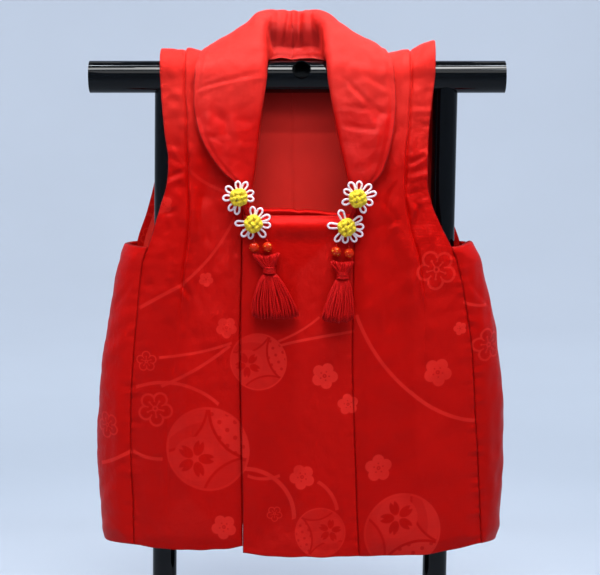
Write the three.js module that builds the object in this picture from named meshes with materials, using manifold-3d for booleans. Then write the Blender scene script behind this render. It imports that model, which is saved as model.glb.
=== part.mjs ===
// A three-year-old's padded satin hifu coat, buttoned, hanging on a steel-tube display stand.
// Millimetres, +Z up, the floor at z = 0 and the coat's front towards -Y.
// "left" and "right" are as seen from the front; in the tables of one side x counts outwards.

import * as THREE from 'three';
import { mergeVertices } from 'three/addons/utils/BufferGeometryUtils.js';
import Module from 'manifold-3d';

const wasm = await Module();
wasm.setup();

// ---------- the stand ----------
const TUBE_Z = 559;          // height of the shoulder tube's axis
const TUBE_R = 15;
const TUBE_X = [-197.7, 192.7];
const TUBE_HOLE = { x: 1.4, radius: 8, depth: 11, tilt: 28, rim: 0.8 };
const POST_X = 132.5;
const POST_R = 11.7;
const POST_LEAN = { left: 0.017, right: 0.01, upright: 110 };  // sideways run for each mm above upright
const FOOT = { width: 30, length: 240, height: 16, bevel: 2 };
const GAP = 0.3;             // clearance between pieces that touch

// ---------- the coat's way over the tube ----------
const REST_R = TUBE_R + 0.9; // radius of the cloth's inner face over the tube
const ARC = Math.PI * REST_R;
const DROP = 447;            // from the tube's axis to the hem
const FLARE = { front: 36, back: 26, frontTurn: 20, backTurn: 14, turnAt: 160 };
const BACK_SEAM_X = -7.5;    // the centre-back seam lies a little to the left
const WALL = { edge: 3.2, puff: 2, softEdge: 15 };
const LINING = { thick: 1.2, inset: 1.7, margin: 7, aboveHem: 9 };
// The shoulder tuck: the fold's rise over the panel, and how far down front and back it fades out.
const TUCK = { rise: 3.5, flat: 6, fade: 24, drop: 0.7, front: [165, 235], back: [130, 190] };
// The back stands off the tube round the neck, between two ways and within a distance of the seam.
const NECK_STAND = { lift: 5, from: 18, to: 36, near: 20, far: 62, below: 70 };
// How much thicker the shoulder strip is over the tube, at the tuck and at the armhole, and how far
// it stands off the tube there.
const STRIP = {
  left: { tuck: 3.4, armhole: 6, off: 1 },
  right: { tuck: 3.4, armhole: 7, off: 7 },
};
const LAYER = 5.4;           // one padded layer and the clearance over it
const OVERLAP = { near: 56, far: 103, above: 20 };  // where the right front lifts over the bands
const COLLAR = { edge: 3.5, puff: 1.1, lift: 0.7, corner: 8, seamIn: 1.5, seamLift: 0.8 };
const BAND = { over: 431.5, under: 436.8, slimmer: 0.4, tucked: 3, shorter: 3 };
const GUSSET = { top: 401, skew: 2, square: 0.2 };
const HEM_BLEND = 70;        // height over which the cloth's rows bend to follow the hem

// Front edge, tuck fold and outer edge of each front panel at heights z.
const FRONT = {
  left: [
    { z: 112, inner: 54.3, tuck: 125, outer: 159.3 },
    { z: 150, inner: 54.3, tuck: 125, outer: 159.5 },
    { z: 200, inner: 55.0, tuck: 124, outer: 161.3 },
    { z: 240, inner: 55.6, tuck: 122, outer: 161.0 },
    { z: 300, inner: 56.2, tuck: 117, outer: 157.5 },
    { z: 350, inner: 55.4, tuck: 111, outer: 152.5 },
    { z: 385, inner: 54.4, tuck: 108, outer: 148.5 },
    { z: 400, inner: 54.2, tuck: 106.6, outer: 143.4 },
    { z: 420, inner: 54.0, tuck: 104, outer: 136.8 },
    { z: 442, inner: 51.8, tuck: 103.6, outer: 130.0 },
    { z: 462, inner: 47.9, tuck: 103.9, outer: 124.4 },
    { z: 482, inner: 45.2, tuck: 104.3, outer: 123.2 },
    { z: 505, inner: 42.9, tuck: 105.0, outer: 126.2 },
    { z: 532, inner: 39.3, tuck: 105.9, outer: 128.7 },
    { z: 559, inner: 35.2, tuck: 106.8, outer: 130.4 },
  ],
  right: [
    { z: 112, inner: 55.8, tuck: 120, outer: 174.3 },
    { z: 150, inner: 53.8, tuck: 120, outer: 172.2 },
    { z: 200, inner: 52.2, tuck: 119, outer: 169.6 },
    { z: 240, inner: 50.6, tuck: 118, outer: 166.9 },
    { z: 300, inner: 49.0, tuck: 117, outer: 163.2 },
    { z: 350, inner: 49.4, tuck: 116, outer: 155.8 },
    { z: 385, inner: 50.0, tuck: 113, outer: 148.4 },
    { z: 400, inner: 50.2, tuck: 109, outer: 142.8 },
    { z: 420, inner: 51.4, tuck: 103, outer: 132.6 },
    { z: 442, inner: 51.8, tuck: 98.6, outer: 123.4 },
    { z: 462, inner: 49.6, tuck: 97.9, outer: 119.4 },
    { z: 482, inner: 44.9, tuck: 99.0, outer: 119.5 },
    { z: 505, inner: 39.6, tuck: 100.5, outer: 120.2 },
    { z: 532, inner: 34.6, tuck: 101.7, outer: 122.6 },
    { z: 559, inner: 30.2, tuck: 102.7, outer: 125.8 },
  ],
};

// Neck edge over the tube: way is the cloth's length from the tube's front, x the edge.
const NECK = {
  left: [
    { way: 0, x: 35.2 },
    { way: 12.5, x: 34.6 },
    { way: 19, x: 33.4 },
    { way: 25, x: 30.4 },
    { way: 28.2, x: 27.4 },
    { way: 31.3, x: 22.8 },
    { way: 34.4, x: 16.8 },
    { way: 37.5, x: 7.65 },
  ],
  right: [
    { way: 0, x: 30.2 },
    { way: 12.5, x: 29.8 },
    { way: 19, x: 28.8 },
    { way: 25, x: 26.0 },
    { way: 28.2, x: 22.6 },
    { way: 31.3, x: 16.6 },
    { way: 34.4, x: 7.0 },
    { way: 37.5, x: -7.35 },
  ],
};

// Outer edge of each back panel: the armhole above z = 400 and the side seam below it.
const BACK = {
  left: [
    { z: 112, outer: 173 },
    { z: 200, outer: 176 },
    { z: 300, outer: 171 },
    { z: 400, outer: 158 },
    { z: 430, outer: 148 },
    { z: 460, outer: 140 },
    { z: 490, outer: 134.5 },
    { z: 525, outer: 131.6 },
    { z: 559, outer: 130.8 },
  ],
  right: [
    { z: 112, outer: 180 },
    { z: 200, outer: 180 },
    { z: 300, outer: 174 },
    { z: 400, outer: 155 },
    { z: 430, outer: 144 },
    { z: 460, outer: 136 },
    { z: 490, outer: 130.5 },
    { z: 525, outer: 127.8 },
    { z: 559, outer: 127 },
  ],
};

// Farthest reach of each side gusset at heights z.
const REACH = {
  left: [
    { z: 110, x: 190.9 },
    { z: 140, x: 193.7 },
    { z: 171, x: 195.3 },
    { z: 200, x: 196.1 },
    { z: 230, x: 195.3 },
    { z: 268, x: 192.2 },
    { z: 298, x: 188.1 },
    { z: 341, x: 181.1 },
    { z: 378, x: 173.9 },
    { z: 402, x: 167.7 },
  ],
  right: [
    { z: 108, x: 190.7 },
    { z: 140, x: 194.6 },
    { z: 171, x: 197.0 },
    { z: 200, x: 197.7 },
    { z: 230, x: 197.0 },
    { z: 268, x: 194.8 },
    { z: 298, x: 191.4 },
    { z: 341, x: 183.8 },
    { z: 378, x: 174.6 },
    { z: 402, x: 164.6 },
  ],
};

// Hem height across each front piece.
const HEM = {
  left: [
    { x: 54, z: 118.2 },
    { x: 81, z: 113.6 },
    { x: 122, z: 112 },
    { x: 141, z: 112.6 },
    { x: 160, z: 114.8 },
  ],
  right: [
    { x: 50, z: 110.5 },
    { x: 87, z: 108.7 },
    { x: 114, z: 107.2 },
    { x: 141, z: 109.8 },
    { x: 175, z: 114.8 },
  ],
  band: [
    { x: -54, z: 114 },
    { x: -27, z: 111 },
    { x: 19, z: 110 },
    { x: 56, z: 110.5 },
  ],
};
const BACK_HEM = 112;

// Collar sections from the front tip to the centre back. Each names the neck seam's way, the roll
// (the fold's inside, x, way and lift off the panel's inner face), the free edge in the same terms,
// and how far the fall bellies out between them.
const COLLAR_COLUMNS = ['neck', 'rollX', 'rollWay', 'rollLift', 'fallX', 'fallWay', 'fallLift', 'belly'];
const COLLAR_ROWS = {
  left: [
    [-121, 51.4, -121, 5.4, 57, -119, 6, 0],
    [-104, 48.6, -104, 5.4, 61, -98, 6, 0.3],
    [-88, 45.9, -88, 5.4, 70.5, -90, 6, 0.8],
    [-68, 43.6, -68, 5.4, 87, -67, 6, 1.4],
    [-48, 41.5, -48, 5.4, 94.8, -48, 6, 1.8],
    [-25, 38.4, -25, 5.6, 98.8, -25, 6, 2],
    [-4, 35.2, -4, 6, 98.4, -6, 7, 2],
    [9, 34.6, 10.6, 8.3, 97, 6, 8, 1.6],
    [17, 35.4, 19.1, 17.3, 94.5, 14, 9, 0.8],
    [22.5, 36.6, 25, 28.5, 92, 22, 10, 0],
    [26.5, 36.6, 28.6, 36.6, 89, 30, 10, -1],
    [30, 34, 30.6, 42.4, 83, 39, 11, -1.5],
    [33, 27.6, 31.8, 45, 68, 49, 13, 0.5],
    [35.6, 18.4, 32.4, 45.8, 40, 58, 14.6, 1.6],
    [37.5, 7.65, 32.6, 46, 7.65, 62, 15.2, 2],
  ],
  right: [
    [-120, 51.6, -120, 5.4, 57, -118, 6, 0],
    [-103, 50.2, -103, 5.4, 64, -101, 6, 0.3],
    [-88, 46.6, -88, 5.4, 75.5, -90, 6, 0.8],
    [-68, 42.2, -68, 5.4, 83.2, -68, 6, 1.4],
    [-48, 38.2, -48, 5.4, 87.4, -47, 6, 1.8],
    [-25, 34, -25, 5.6, 89.3, -25, 6, 2],
    [-4, 30.2, -4, 6, 88.2, -6, 7, 2],
    [9, 28.4, 10.6, 8.3, 87, 6, 8, 1.6],
    [17, 26.6, 19.1, 17.3, 86, 14, 9, 0.8],
    [22.5, 25.2, 25, 28.5, 84.5, 22, 10, 0],
    [26.5, 23.4, 28.6, 36.6, 81.5, 30, 10, -1],
    [30, 19.4, 30.6, 42.4, 75, 39, 11, -1.5],
    [33, 11.6, 31.8, 45, 58, 49, 13, 0.5],
    [35.6, 2.4, 32.4, 45.8, 28, 58, 14.6, 1.6],
    [37.5, -7.35, 32.6, 46, -7.35, 62, 15.2, 2],
  ],
};

// ---------- the trims ----------
// A knot is a low dome, a little square; its profile gives parts of the radius and of the height.
const KNOT = { radius: 8.6, height: 8.8, swell: 0.06, corners: 4 };
const KNOT_PROFILE = [[0, 0], [0.84, 0], [1, 0.23], [0.965, 0.52], [0.744, 0.8], [0.395, 0.955], [0, 1]];
// A petal is a loop of cord, wide at its waist and round at its tip.
const PETAL = { cord: 1.05, root: 4.5, half: 2.3, waist: 3.5, tip: 3.2, round: 1.6, sides: 4, steps: 7 };
// Depths of a flower's layers off the cloth, and the radii of its stem and hub.
const STACK = { stem: 0.5, hubBottom: 2.8, petal: 4.4, hubTop: 5.6, knot: 5.9, stemR: 3, hubR: 6 };
// Flower frogs: centre, lift of the cloth under it, and eight loops by angle and reach.
const FLOWERS = [
  {
    name: 'left_upper', x: -56.6, z: 448.9, cloth: 10.7, turn: 10,
    loops: [
      [94, 15.4], [62, 16.4], [19, 15], [351, 14.6], [142, 15.8], [184, 15.6], [234, 16], [262, 16.8],
    ],
  },
  {
    name: 'left_lower', x: -43.2, z: 424.6, cloth: 9.6, turn: 38,
    loops: [
      [93, 16.2], [62, 16.6], [24, 17.4], [352, 16.6], [310, 17.2], [257, 15.4], [228, 16.8], [180, 17.8],
    ],
  },
  {
    name: 'right_upper', x: 53.3, z: 448.2, cloth: 15.3, turn: 20,
    loops: [
      [117, 17], [84, 16.4], [46, 18], [16, 18.4], [340, 15.4], [296, 15.4], [198, 15.6], [149, 15.4],
    ],
  },
  {
    name: 'right_lower', x: 43.3, z: 421.2, cloth: 9.8, turn: 30,
    loops: [
      [112, 17.6], [34, 17.4], [1, 16.4], [332, 17.4], [302, 16.6], [264, 15.6], [232, 17.6], [175, 18.4],
    ],
  },
];
// Two beads and a tassel hang from each lower flower.
const BEAD = { radius: 4.7, bore: 1.2, cord: 0.6, seat: 0.4 };
// A tassel's head is two lobes over a bound neck, from which the strands spread in a spiral.
const TASSEL = { strands: 32, side: 0.95, seat: 0.3, neck: [5.4, 3.6], binding: 12, golden: 137.5 };
const LOBE = { turn: 24, out: 0.5, width: 0.56, height: 5.4, depth: 5 };
const PENDANTS = [
  {
    name: 'left', flower: 'left_lower', cloth: 9.9,
    beads: [{ x: -42.4, z: 402.4 }, { x: -30.2, z: 403 }],
    head: { x: -31.2, z: 393.2, half: 13, tilt: 6 }, bound: { x: -28.4, z: 381.6 },
    skirt: { x: -22.6, z: 336.6, half: 21.6, depth: 5.6 },
  },
  {
    name: 'right', flower: 'right_lower', cloth: 9.9,
    beads: [{ x: 33.6, z: 398.6 }, { x: 45.6, z: 397 }],
    head: { x: 39.2, z: 387.4, half: 11, tilt: -4 }, bound: { x: 39.4, z: 376.6 },
    skirt: { x: 35, z: 334, half: 14.4, depth: 7 },
  },
];
// Flat double cord from each upper flower to the lower one: x, z and lift off the panel.
const LINK_CORD = { thick: 1.6, wide: 3.4 };
const LINKS = {
  left: [[-54.1, 443.4, 12], [-50.6, 437, 12.3], [-47.4, 431, 11.6], [-45.4, 428.2, 11.3]],
  right: [[51.8, 443, 16.6], [49.4, 436, 16.6], [46.6, 429.4, 13], [45.2, 426.2, 11.5]],
};

// ---------- colours ----------
const black = () => new THREE.MeshStandardMaterial({ color: 0x17181c, roughness: 0.3, metalness: 0.4 });
const satin = () => new THREE.MeshStandardMaterial({ color: 0xb4140f, roughness: 0.42, metalness: 0 });
const lining = () => new THREE.MeshStandardMaterial({ color: 0x9c1513, roughness: 0.6, metalness: 0 });
const white = () => new THREE.MeshStandardMaterial({ color: 0xf3dfe2, roughness: 0.7, metalness: 0 });
const yellow = () => new THREE.MeshStandardMaterial({ color: 0xe3d22e, roughness: 0.7, metalness: 0 });
const glass = () => new THREE.MeshStandardMaterial({ color: 0xc2210f, roughness: 0.12, metalness: 0 });
const silk = () => new THREE.MeshStandardMaterial({ color: 0x8d1220, roughness: 0.55, metalness: 0 });

const coat = new THREE.Group();

function add(name, geometry, material) {
  const mesh = new THREE.Mesh(geometry, material);
  mesh.name = name;
  coat.add(mesh);
  return mesh;
}

// ---------- curves and steps ----------
const SIGN = { left: -1, right: 1 };
const radians = THREE.MathUtils.degToRad;

// 0 at from and 1 at to, whichever of them is the greater.
function smooth(from, to, value) {
  if (from < to) return THREE.MathUtils.smoothstep(value, from, to);
  return 1 - THREE.MathUtils.smoothstep(value, to, from);
}

// A curve through a table's rows that never swings past them.
function curveOf(rows, along, across) {
  const at = rows.map((row) => row[along]);
  const value = rows.map((row) => row[across]);
  const slope = at.slice(1).map((a, k) => (value[k + 1] - value[k]) / (a - at[k]));
  const tangent = at.map((_, k) => {
    if (k === 0) return slope[0];
    if (k === at.length - 1) return slope[k - 1];
    return slope[k - 1] * slope[k] <= 0 ? 0 : (2 * slope[k - 1] * slope[k]) / (slope[k - 1] + slope[k]);
  });
  return (place) => {
    const q = THREE.MathUtils.clamp(place, at[0], at[at.length - 1]);
    let k = 0;
    while (k < at.length - 2 && q > at[k + 1]) k += 1;
    const span = at[k + 1] - at[k];
    const t = (q - at[k]) / span;
    const cubic = (2 * t - 3) * t * t;
    return value[k] * (cubic + 1) - value[k + 1] * cubic
      + span * t * (1 - t) * (tangent[k] * (1 - t) - tangent[k + 1] * t);
  };
}

const OUTLINE = {};
for (const side of ['left', 'right']) {
  OUTLINE[side] = {
    inner: curveOf(FRONT[side], 'z', 'inner'),
    tuck: curveOf(FRONT[side], 'z', 'tuck'),
    outer: curveOf(FRONT[side], 'z', 'outer'),
    neck: curveOf(NECK[side], 'way', 'x'),
    back: curveOf(BACK[side], 'z', 'outer'),
    reach: curveOf(REACH[side], 'z', 'x'),
    hem: curveOf(HEM[side], 'x', 'z'),
  };
}
const bandHem = curveOf(HEM.band, 'x', 'z');

// ---------- the cloth's way over the tube ----------
// way < 0 is the drop down the front, 0 to ARC lies over the tube, and beyond ARC hangs the back.
const frontWay = (z) => z - TUBE_Z;
const backWay = (z) => ARC + TUBE_Z - z;

function heightAt(way) {
  if (way < 0) return TUBE_Z + way;
  return way > ARC ? TUBE_Z - (way - ARC) : TUBE_Z;
}

function drape(x, way, lift) {
  const turn = (x / FLARE.turnAt) ** 2;
  if (way < 0) {
    const part = -way / DROP;
    const depth = REST_R + FLARE.front * part - FLARE.frontTurn * part * turn;
    return new THREE.Vector3(x, -depth - lift, TUBE_Z + way);
  }
  if (way > ARC) {
    const part = (way - ARC) / DROP;
    const depth = REST_R + FLARE.back * part - FLARE.backTurn * part * turn;
    return new THREE.Vector3(x, depth + lift, TUBE_Z - (way - ARC));
  }
  const angle = way / REST_R;
  const radius = REST_R + lift;
  return new THREE.Vector3(x, -radius * Math.cos(angle), TUBE_Z + radius * Math.sin(angle));
}

// The inverse of drape: the way and the lift of a point.
function locate(point) {
  const rise = point.z - TUBE_Z;
  const front = point.y < 0;
  if (rise < 0) {
    const part = -rise / DROP;
    const turn = (point.x / FLARE.turnAt) ** 2;
    const depth = front ? FLARE.front - FLARE.frontTurn * turn : FLARE.back - FLARE.backTurn * turn;
    return { way: front ? rise : ARC - rise, lift: Math.abs(point.y) - REST_R - part * depth };
  }
  const angle = Math.atan2(rise, -point.y);
  return { way: angle * REST_R, lift: Math.hypot(point.y, rise) - REST_R };
}

// From 0 on the front to 1 where the back panel has begun.
const overTube = (way) => smooth(NECK_STAND.from, NECK_STAND.to, way);

// The collar's stand holds the back off the tube round the neck.
function neckLift(side, x, way) {
  const fromSeam = Math.abs(SIGN[side] * x - BACK_SEAM_X);
  const { lift, near, far, below } = NECK_STAND;
  return lift * overTube(way) * smooth(far, near, fromSeam) * smooth(ARC + below, ARC, way);
}

// Lift of a panel's inner face: over the other front's band, off the tube at the armhole, off the
// back neck and over the lining.
function baseLift(side, x, way) {
  let lift = 0;
  if (side === 'right' && way < 0) {
    const overBand = smooth(0, frontWay(BAND.over) + OVERLAP.above, way);
    lift += LAYER * smooth(OVERLAP.far, OVERLAP.near, x) * overBand;
  }
  if (way > 0 && way < ARC) {
    const edges = edgesAt(side, way);
    lift += STRIP[side].off * Math.sin(way / REST_R) * smooth(edges.tuck, edges.outer, x);
  }
  return lift + neckLift(side, x, way) + LINING.inset * overTube(way);
}

function edgesAt(side, way) {
  const outline = OUTLINE[side];
  const z = heightAt(way);
  const tuck = outline.tuck(z);
  if (way < 0) return { inner: outline.inner(z), tuck, outer: outline.outer(z) };
  const inner = outline.neck(way);
  const over = smooth(0, ARC, way);
  const outer = THREE.MathUtils.lerp(outline.outer(z), outline.back(z), over);
  return { inner, tuck, outer: way > ARC ? outline.back(z) : outer };
}

// Wall thickness of a panel: soft at the edges, with the shoulder tuck standing up on its neck side.
function panelWall(side, x, way) {
  const edges = edgesAt(side, way);
  const inside = Math.min(x - edges.inner, edges.outer - x);
  const hang = Math.abs(way - ARC / 2) - ARC / 2;
  const [full, gone] = way < ARC / 2 ? TUCK.front : TUCK.back;
  const alongTuck = smooth(gone, full, hang);
  const beside = edges.tuck - x;
  const ridge = beside > 0 ? TUCK.rise * smooth(TUCK.fade, TUCK.flat, beside) : 0;
  const crown = way > 0 && way < ARC ? Math.sin(way / REST_R) : 0;
  const towardsArm = smooth(edges.tuck, edges.outer, x);
  const folded = THREE.MathUtils.lerp(STRIP[side].tuck, STRIP[side].armhole, towardsArm);
  const strip = folded * crown * smooth(TUCK.fade, 0, beside);
  const sewn = beside > 0 ? ridge * (1 - 0.8 * crown) : 0;
  return WALL.edge + WALL.puff * smooth(0, WALL.softEdge, inside) + alongTuck * sewn + strip;
}

// ---------- closed walls ----------
function volumeOf(position, index) {
  const [a, b, c] = [new THREE.Vector3(), new THREE.Vector3(), new THREE.Vector3()];
  let volume = 0;
  for (let k = 0; k < index.length; k += 3) {
    a.fromArray(position, 3 * index[k]);
    b.fromArray(position, 3 * index[k + 1]);
    c.fromArray(position, 3 * index[k + 2]);
    volume += a.dot(b.cross(c)) / 6;
  }
  return volume;
}

// A closed wall between an inner and an outer grid of points with the same rows and columns.
function wallBetween(inner, outer) {
  const rows = inner.length;
  const columns = inner[0].length;
  const position = [];
  for (const point of [...inner.flat(), ...outer.flat()]) position.push(point.x, point.y, point.z);
  const lower = (i, j) => i * columns + j;
  const upper = (i, j) => rows * columns + i * columns + j;
  const index = [];
  const quad = (a, b, c, d) => index.push(a, b, c, a, c, d);
  for (let i = 0; i < rows - 1; i += 1) {
    for (let j = 0; j < columns - 1; j += 1) {
      quad(lower(i, j), lower(i, j + 1), lower(i + 1, j + 1), lower(i + 1, j));
      quad(upper(i, j), upper(i + 1, j), upper(i + 1, j + 1), upper(i, j + 1));
    }
  }
  for (let i = 0; i < rows - 1; i += 1) {
    quad(lower(i, 0), lower(i + 1, 0), upper(i + 1, 0), upper(i, 0));
    quad(lower(i + 1, columns - 1), lower(i, columns - 1), upper(i, columns - 1), upper(i + 1, columns - 1));
  }
  for (let j = 0; j < columns - 1; j += 1) {
    quad(lower(0, j + 1), lower(0, j), upper(0, j), upper(0, j + 1));
    quad(lower(rows - 1, j), lower(rows - 1, j + 1), upper(rows - 1, j + 1), upper(rows - 1, j));
  }
  if (volumeOf(position, index) < 0) index.reverse();
  const geometry = new THREE.BufferGeometry();
  geometry.setAttribute('position', new THREE.Float32BufferAttribute(position, 3));
  geometry.setIndex(index);
  return geometry;
}

function spread(from, to, steps) {
  return Array.from({ length: steps + 1 }, (_, k) => from + ((to - from) * k) / steps);
}

// ---------- solids joined or cut ----------
function solidOf(geometry, matrix = new THREE.Matrix4()) {
  const bare = geometry.clone().applyMatrix4(matrix);
  bare.deleteAttribute('normal');
  bare.deleteAttribute('uv');
  const merged = mergeVertices(bare, 1e-4);
  const mesh = new wasm.Mesh({
    numProp: 3,
    vertProperties: new Float32Array(merged.attributes.position.array),
    triVerts: new Uint32Array(merged.index.array),
  });
  return new wasm.Manifold(mesh);
}

function geometryOf(solid) {
  const mesh = solid.getMesh();
  const geometry = new THREE.BufferGeometry();
  geometry.setAttribute('position', new THREE.Float32BufferAttribute(Array.from(mesh.vertProperties), 3));
  geometry.setIndex(Array.from(mesh.triVerts));
  return geometry;
}

function tube(points, radius, sides, steps, closed = false) {
  const path = new THREE.CatmullRomCurve3(points, closed, 'centripetal');
  const section = new THREE.Shape(spread(0, 2 * Math.PI, sides).slice(0, -1)
    .map((angle) => new THREE.Vector2(radius * Math.cos(angle), radius * Math.sin(angle))));
  return new THREE.ExtrudeGeometry(section, { steps, extrudePath: path });
}

// ---------- stand ----------
function makeStand() {
  const length = TUBE_X[1] - TUBE_X[0];
  const middle = (TUBE_X[1] + TUBE_X[0]) / 2;
  const lying = new THREE.Matrix4().makeRotationZ(Math.PI / 2);
  lying.setPosition(middle, 0, TUBE_Z);
  const bar = solidOf(new THREE.CylinderGeometry(TUBE_R, TUBE_R, length, 40), lying);

  const tilt = radians(TUBE_HOLE.tilt);
  const out = new THREE.Vector3(0, -Math.cos(tilt), Math.sin(tilt));
  const drill = new THREE.Matrix4().makeRotationX(-tilt);
  const mouth = TUBE_R + TUBE_HOLE.rim;
  const centre = out.clone().multiplyScalar(mouth - TUBE_HOLE.depth / 2 + 1);
  drill.setPosition(TUBE_HOLE.x, centre.y, TUBE_Z + centre.z);
  const { radius, depth } = TUBE_HOLE;
  const hole = solidOf(new THREE.CylinderGeometry(radius, radius, depth, 28), drill);
  const rimPlace = new THREE.Matrix4().makeRotationX(-tilt);
  const rimCentre = out.clone().multiplyScalar(mouth / 2);
  rimPlace.setPosition(TUBE_HOLE.x, rimCentre.y, TUBE_Z + rimCentre.z);
  const rimRadius = radius + TUBE_HOLE.rim;
  const rim = solidOf(new THREE.CylinderGeometry(rimRadius, rimRadius, mouth, 28), rimPlace);
  add('stand_shoulder_tube', geometryOf(bar.add(rim).subtract(hole)), black());

  const postFoot = FOOT.height + GAP;
  const saddlePlace = new THREE.Matrix4().makeRotationZ(Math.PI / 2);
  saddlePlace.setPosition(0, 0, TUBE_Z);
  const saddle = solidOf(new THREE.CylinderGeometry(TUBE_R + GAP, TUBE_R + GAP, 2 * length, 40), saddlePlace);
  for (const side of ['left', 'right']) {
    const upright = new THREE.Matrix4().makeRotationX(Math.PI / 2);
    upright.setPosition(SIGN[side] * POST_X, 0, (TUBE_Z + postFoot) / 2);
    const lean = new THREE.Matrix4().makeShear(0, 0, 0, 0, POST_LEAN[side], 0);
    upright.premultiply(lean);
    upright.elements[12] -= POST_LEAN[side] * POST_LEAN.upright;
    const post = solidOf(new THREE.CylinderGeometry(POST_R, POST_R, TUBE_Z - postFoot, 28), upright);
    add(`stand_post_${side}`, geometryOf(post.subtract(saddle)), black());

    const half = FOOT.width / 2 - FOOT.bevel;
    const plan = new THREE.Shape();
    plan.moveTo(-half, -FOOT.length / 2 + FOOT.bevel);
    plan.lineTo(half, -FOOT.length / 2 + FOOT.bevel);
    plan.lineTo(half, FOOT.length / 2 - FOOT.bevel);
    plan.lineTo(-half, FOOT.length / 2 - FOOT.bevel);
    const foot = new THREE.ExtrudeGeometry(plan, {
      depth: FOOT.height - 2 * FOOT.bevel,
      bevelThickness: FOOT.bevel,
      bevelSize: FOOT.bevel,
      bevelSegments: 2,
    });
    foot.translate(0, 0, FOOT.bevel);
    add(`stand_foot_${side}`, foot, black()).position.set(SIGN[side] * POST_X, 0, 0);
  }
}

// ---------- body panels, gussets and bands ----------
const SIDE_HEIGHTS = [112, 130, 165, 210, 255, 300, 340, 375];
const FRONT_HEIGHTS = [...SIDE_HEIGHTS, 400, 420, 440, 462, 485, 512, 538];
const ARC_WAYS = [0, 6.2, 12.5, 19, 22, 25, 28.2, 31.3, 34.4, 37.5, 40.6, 43.7, 46.8, ARC];
const BACK_HEIGHTS = [538, 505, 470, 435, 400, ...SIDE_HEIGHTS.toReversed()];
const INNER_COLUMNS = [0, 0.14, 0.36, 0.6, 0.82, 1];
const OUTER_COLUMNS = [0, 0.22, 0.55, 0.82, 1];

// Lets the lowest rows follow the hem instead of lying level.
function hemmed(z, hem, level) {
  return z + (hem - level) * smooth(level + HEM_BLEND, level, z);
}

function innerColumns(edges) {
  return INNER_COLUMNS.map((part) => THREE.MathUtils.lerp(edges.inner, edges.tuck - TUCK.drop, part));
}

function outerColumns(edges) {
  return OUTER_COLUMNS.map((part) => THREE.MathUtils.lerp(edges.tuck + TUCK.drop, edges.outer, part));
}

function panelRow(side, way, face) {
  const edges = edgesAt(side, way);
  const columns = [...innerColumns(edges), ...outerColumns(edges)];
  return columns.map((x) => {
    const level = way < 0 ? OUTLINE[side].hem(x) : BACK_HEM;
    const z = way < 0 ? hemmed(heightAt(way), level, BACK_HEM) : 0;
    const at = way < 0 ? frontWay(z) : way;
    const lift = baseLift(side, x, way) + (face === 'outer' ? panelWall(side, x, way) : 0);
    return drape(SIGN[side] * x, at, lift);
  });
}

function makeBody(side) {
  const ways = [...FRONT_HEIGHTS.map(frontWay), ...ARC_WAYS, ...BACK_HEIGHTS.map(backWay)];
  const inner = ways.map((way) => panelRow(side, way, 'inner'));
  const outer = ways.map((way) => panelRow(side, way, 'outer'));
  add(`body_${side}`, wallBetween(inner, outer), satin());
}

function makeLining(side) {
  const hung = [...BACK_HEIGHTS.slice(0, -1), BACK_HEM + LINING.aboveHem];
  const ways = [...ARC_WAYS.slice(-4), ...hung.map(backWay)];
  const grid = (lift) => ways.map((way) => {
    const edges = edgesAt(side, way);
    const reach = edges.outer - LINING.margin;
    const columns = [...innerColumns(edges), (edges.tuck + reach) / 2, reach];
    return columns.map((x) => drape(SIGN[side] * x, way, neckLift(side, x, way) + lift));
  });
  add(`back_lining_${side}`, wallBetween(grid(0), grid(LINING.thick)), lining());
}

// A side gusset joins the front panel's seam to the back panel's, bellied out to its reach.
function gussetPlan(side, z) {
  const outline = OUTLINE[side];
  const seamFront = outline.outer(z) + GAP;
  const seamBack = outline.back(z) + GAP;
  const start = drape(seamFront, frontWay(z), 0);
  const end = drape(seamBack, backWay(z), LINING.inset);
  const reach = outline.reach(z) - WALL.edge - WALL.puff;
  const control = (8 * reach - seamFront - seamBack) / 6;
  const depth = end.y - start.y;
  return new THREE.CubicBezierCurve(
    new THREE.Vector2(seamFront, start.y),
    new THREE.Vector2(control - GUSSET.skew, start.y + GUSSET.square * depth),
    new THREE.Vector2(control + GUSSET.skew, end.y - GUSSET.square * depth),
    new THREE.Vector2(seamBack, end.y),
  );
}

function makeGusset(side) {
  const heights = [...SIDE_HEIGHTS, GUSSET.top - 12, GUSSET.top];
  const steps = spread(0, 1, 10);
  const hemFront = OUTLINE[side].hem(OUTLINE[side].outer(BACK_HEM));
  const grid = (face) => heights.map((level) => steps.map((step) => {
    const plan = gussetPlan(side, level);
    const at = plan.getPoint(step);
    const tangent = plan.getTangent(step);
    if (step === 0) tangent.set(1, 0);
    if (step === 1) tangent.set(-1, 0);
    const hem = THREE.MathUtils.lerp(hemFront, BACK_HEM, smooth(0, 0.5, step));
    const inside = Math.min(step, 1 - step) * plan.getLength();
    const thick = face === 'outer' ? WALL.edge + WALL.puff * smooth(0, WALL.softEdge, inside) : 0;
    const z = hemmed(level, hem, BACK_HEM);
    return new THREE.Vector3(SIGN[side] * (at.x + tangent.y * thick), at.y - tangent.x * thick, z);
  }));
  add(`side_gusset_${side}`, wallBetween(grid('inner'), grid('outer')), satin());
}

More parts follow.
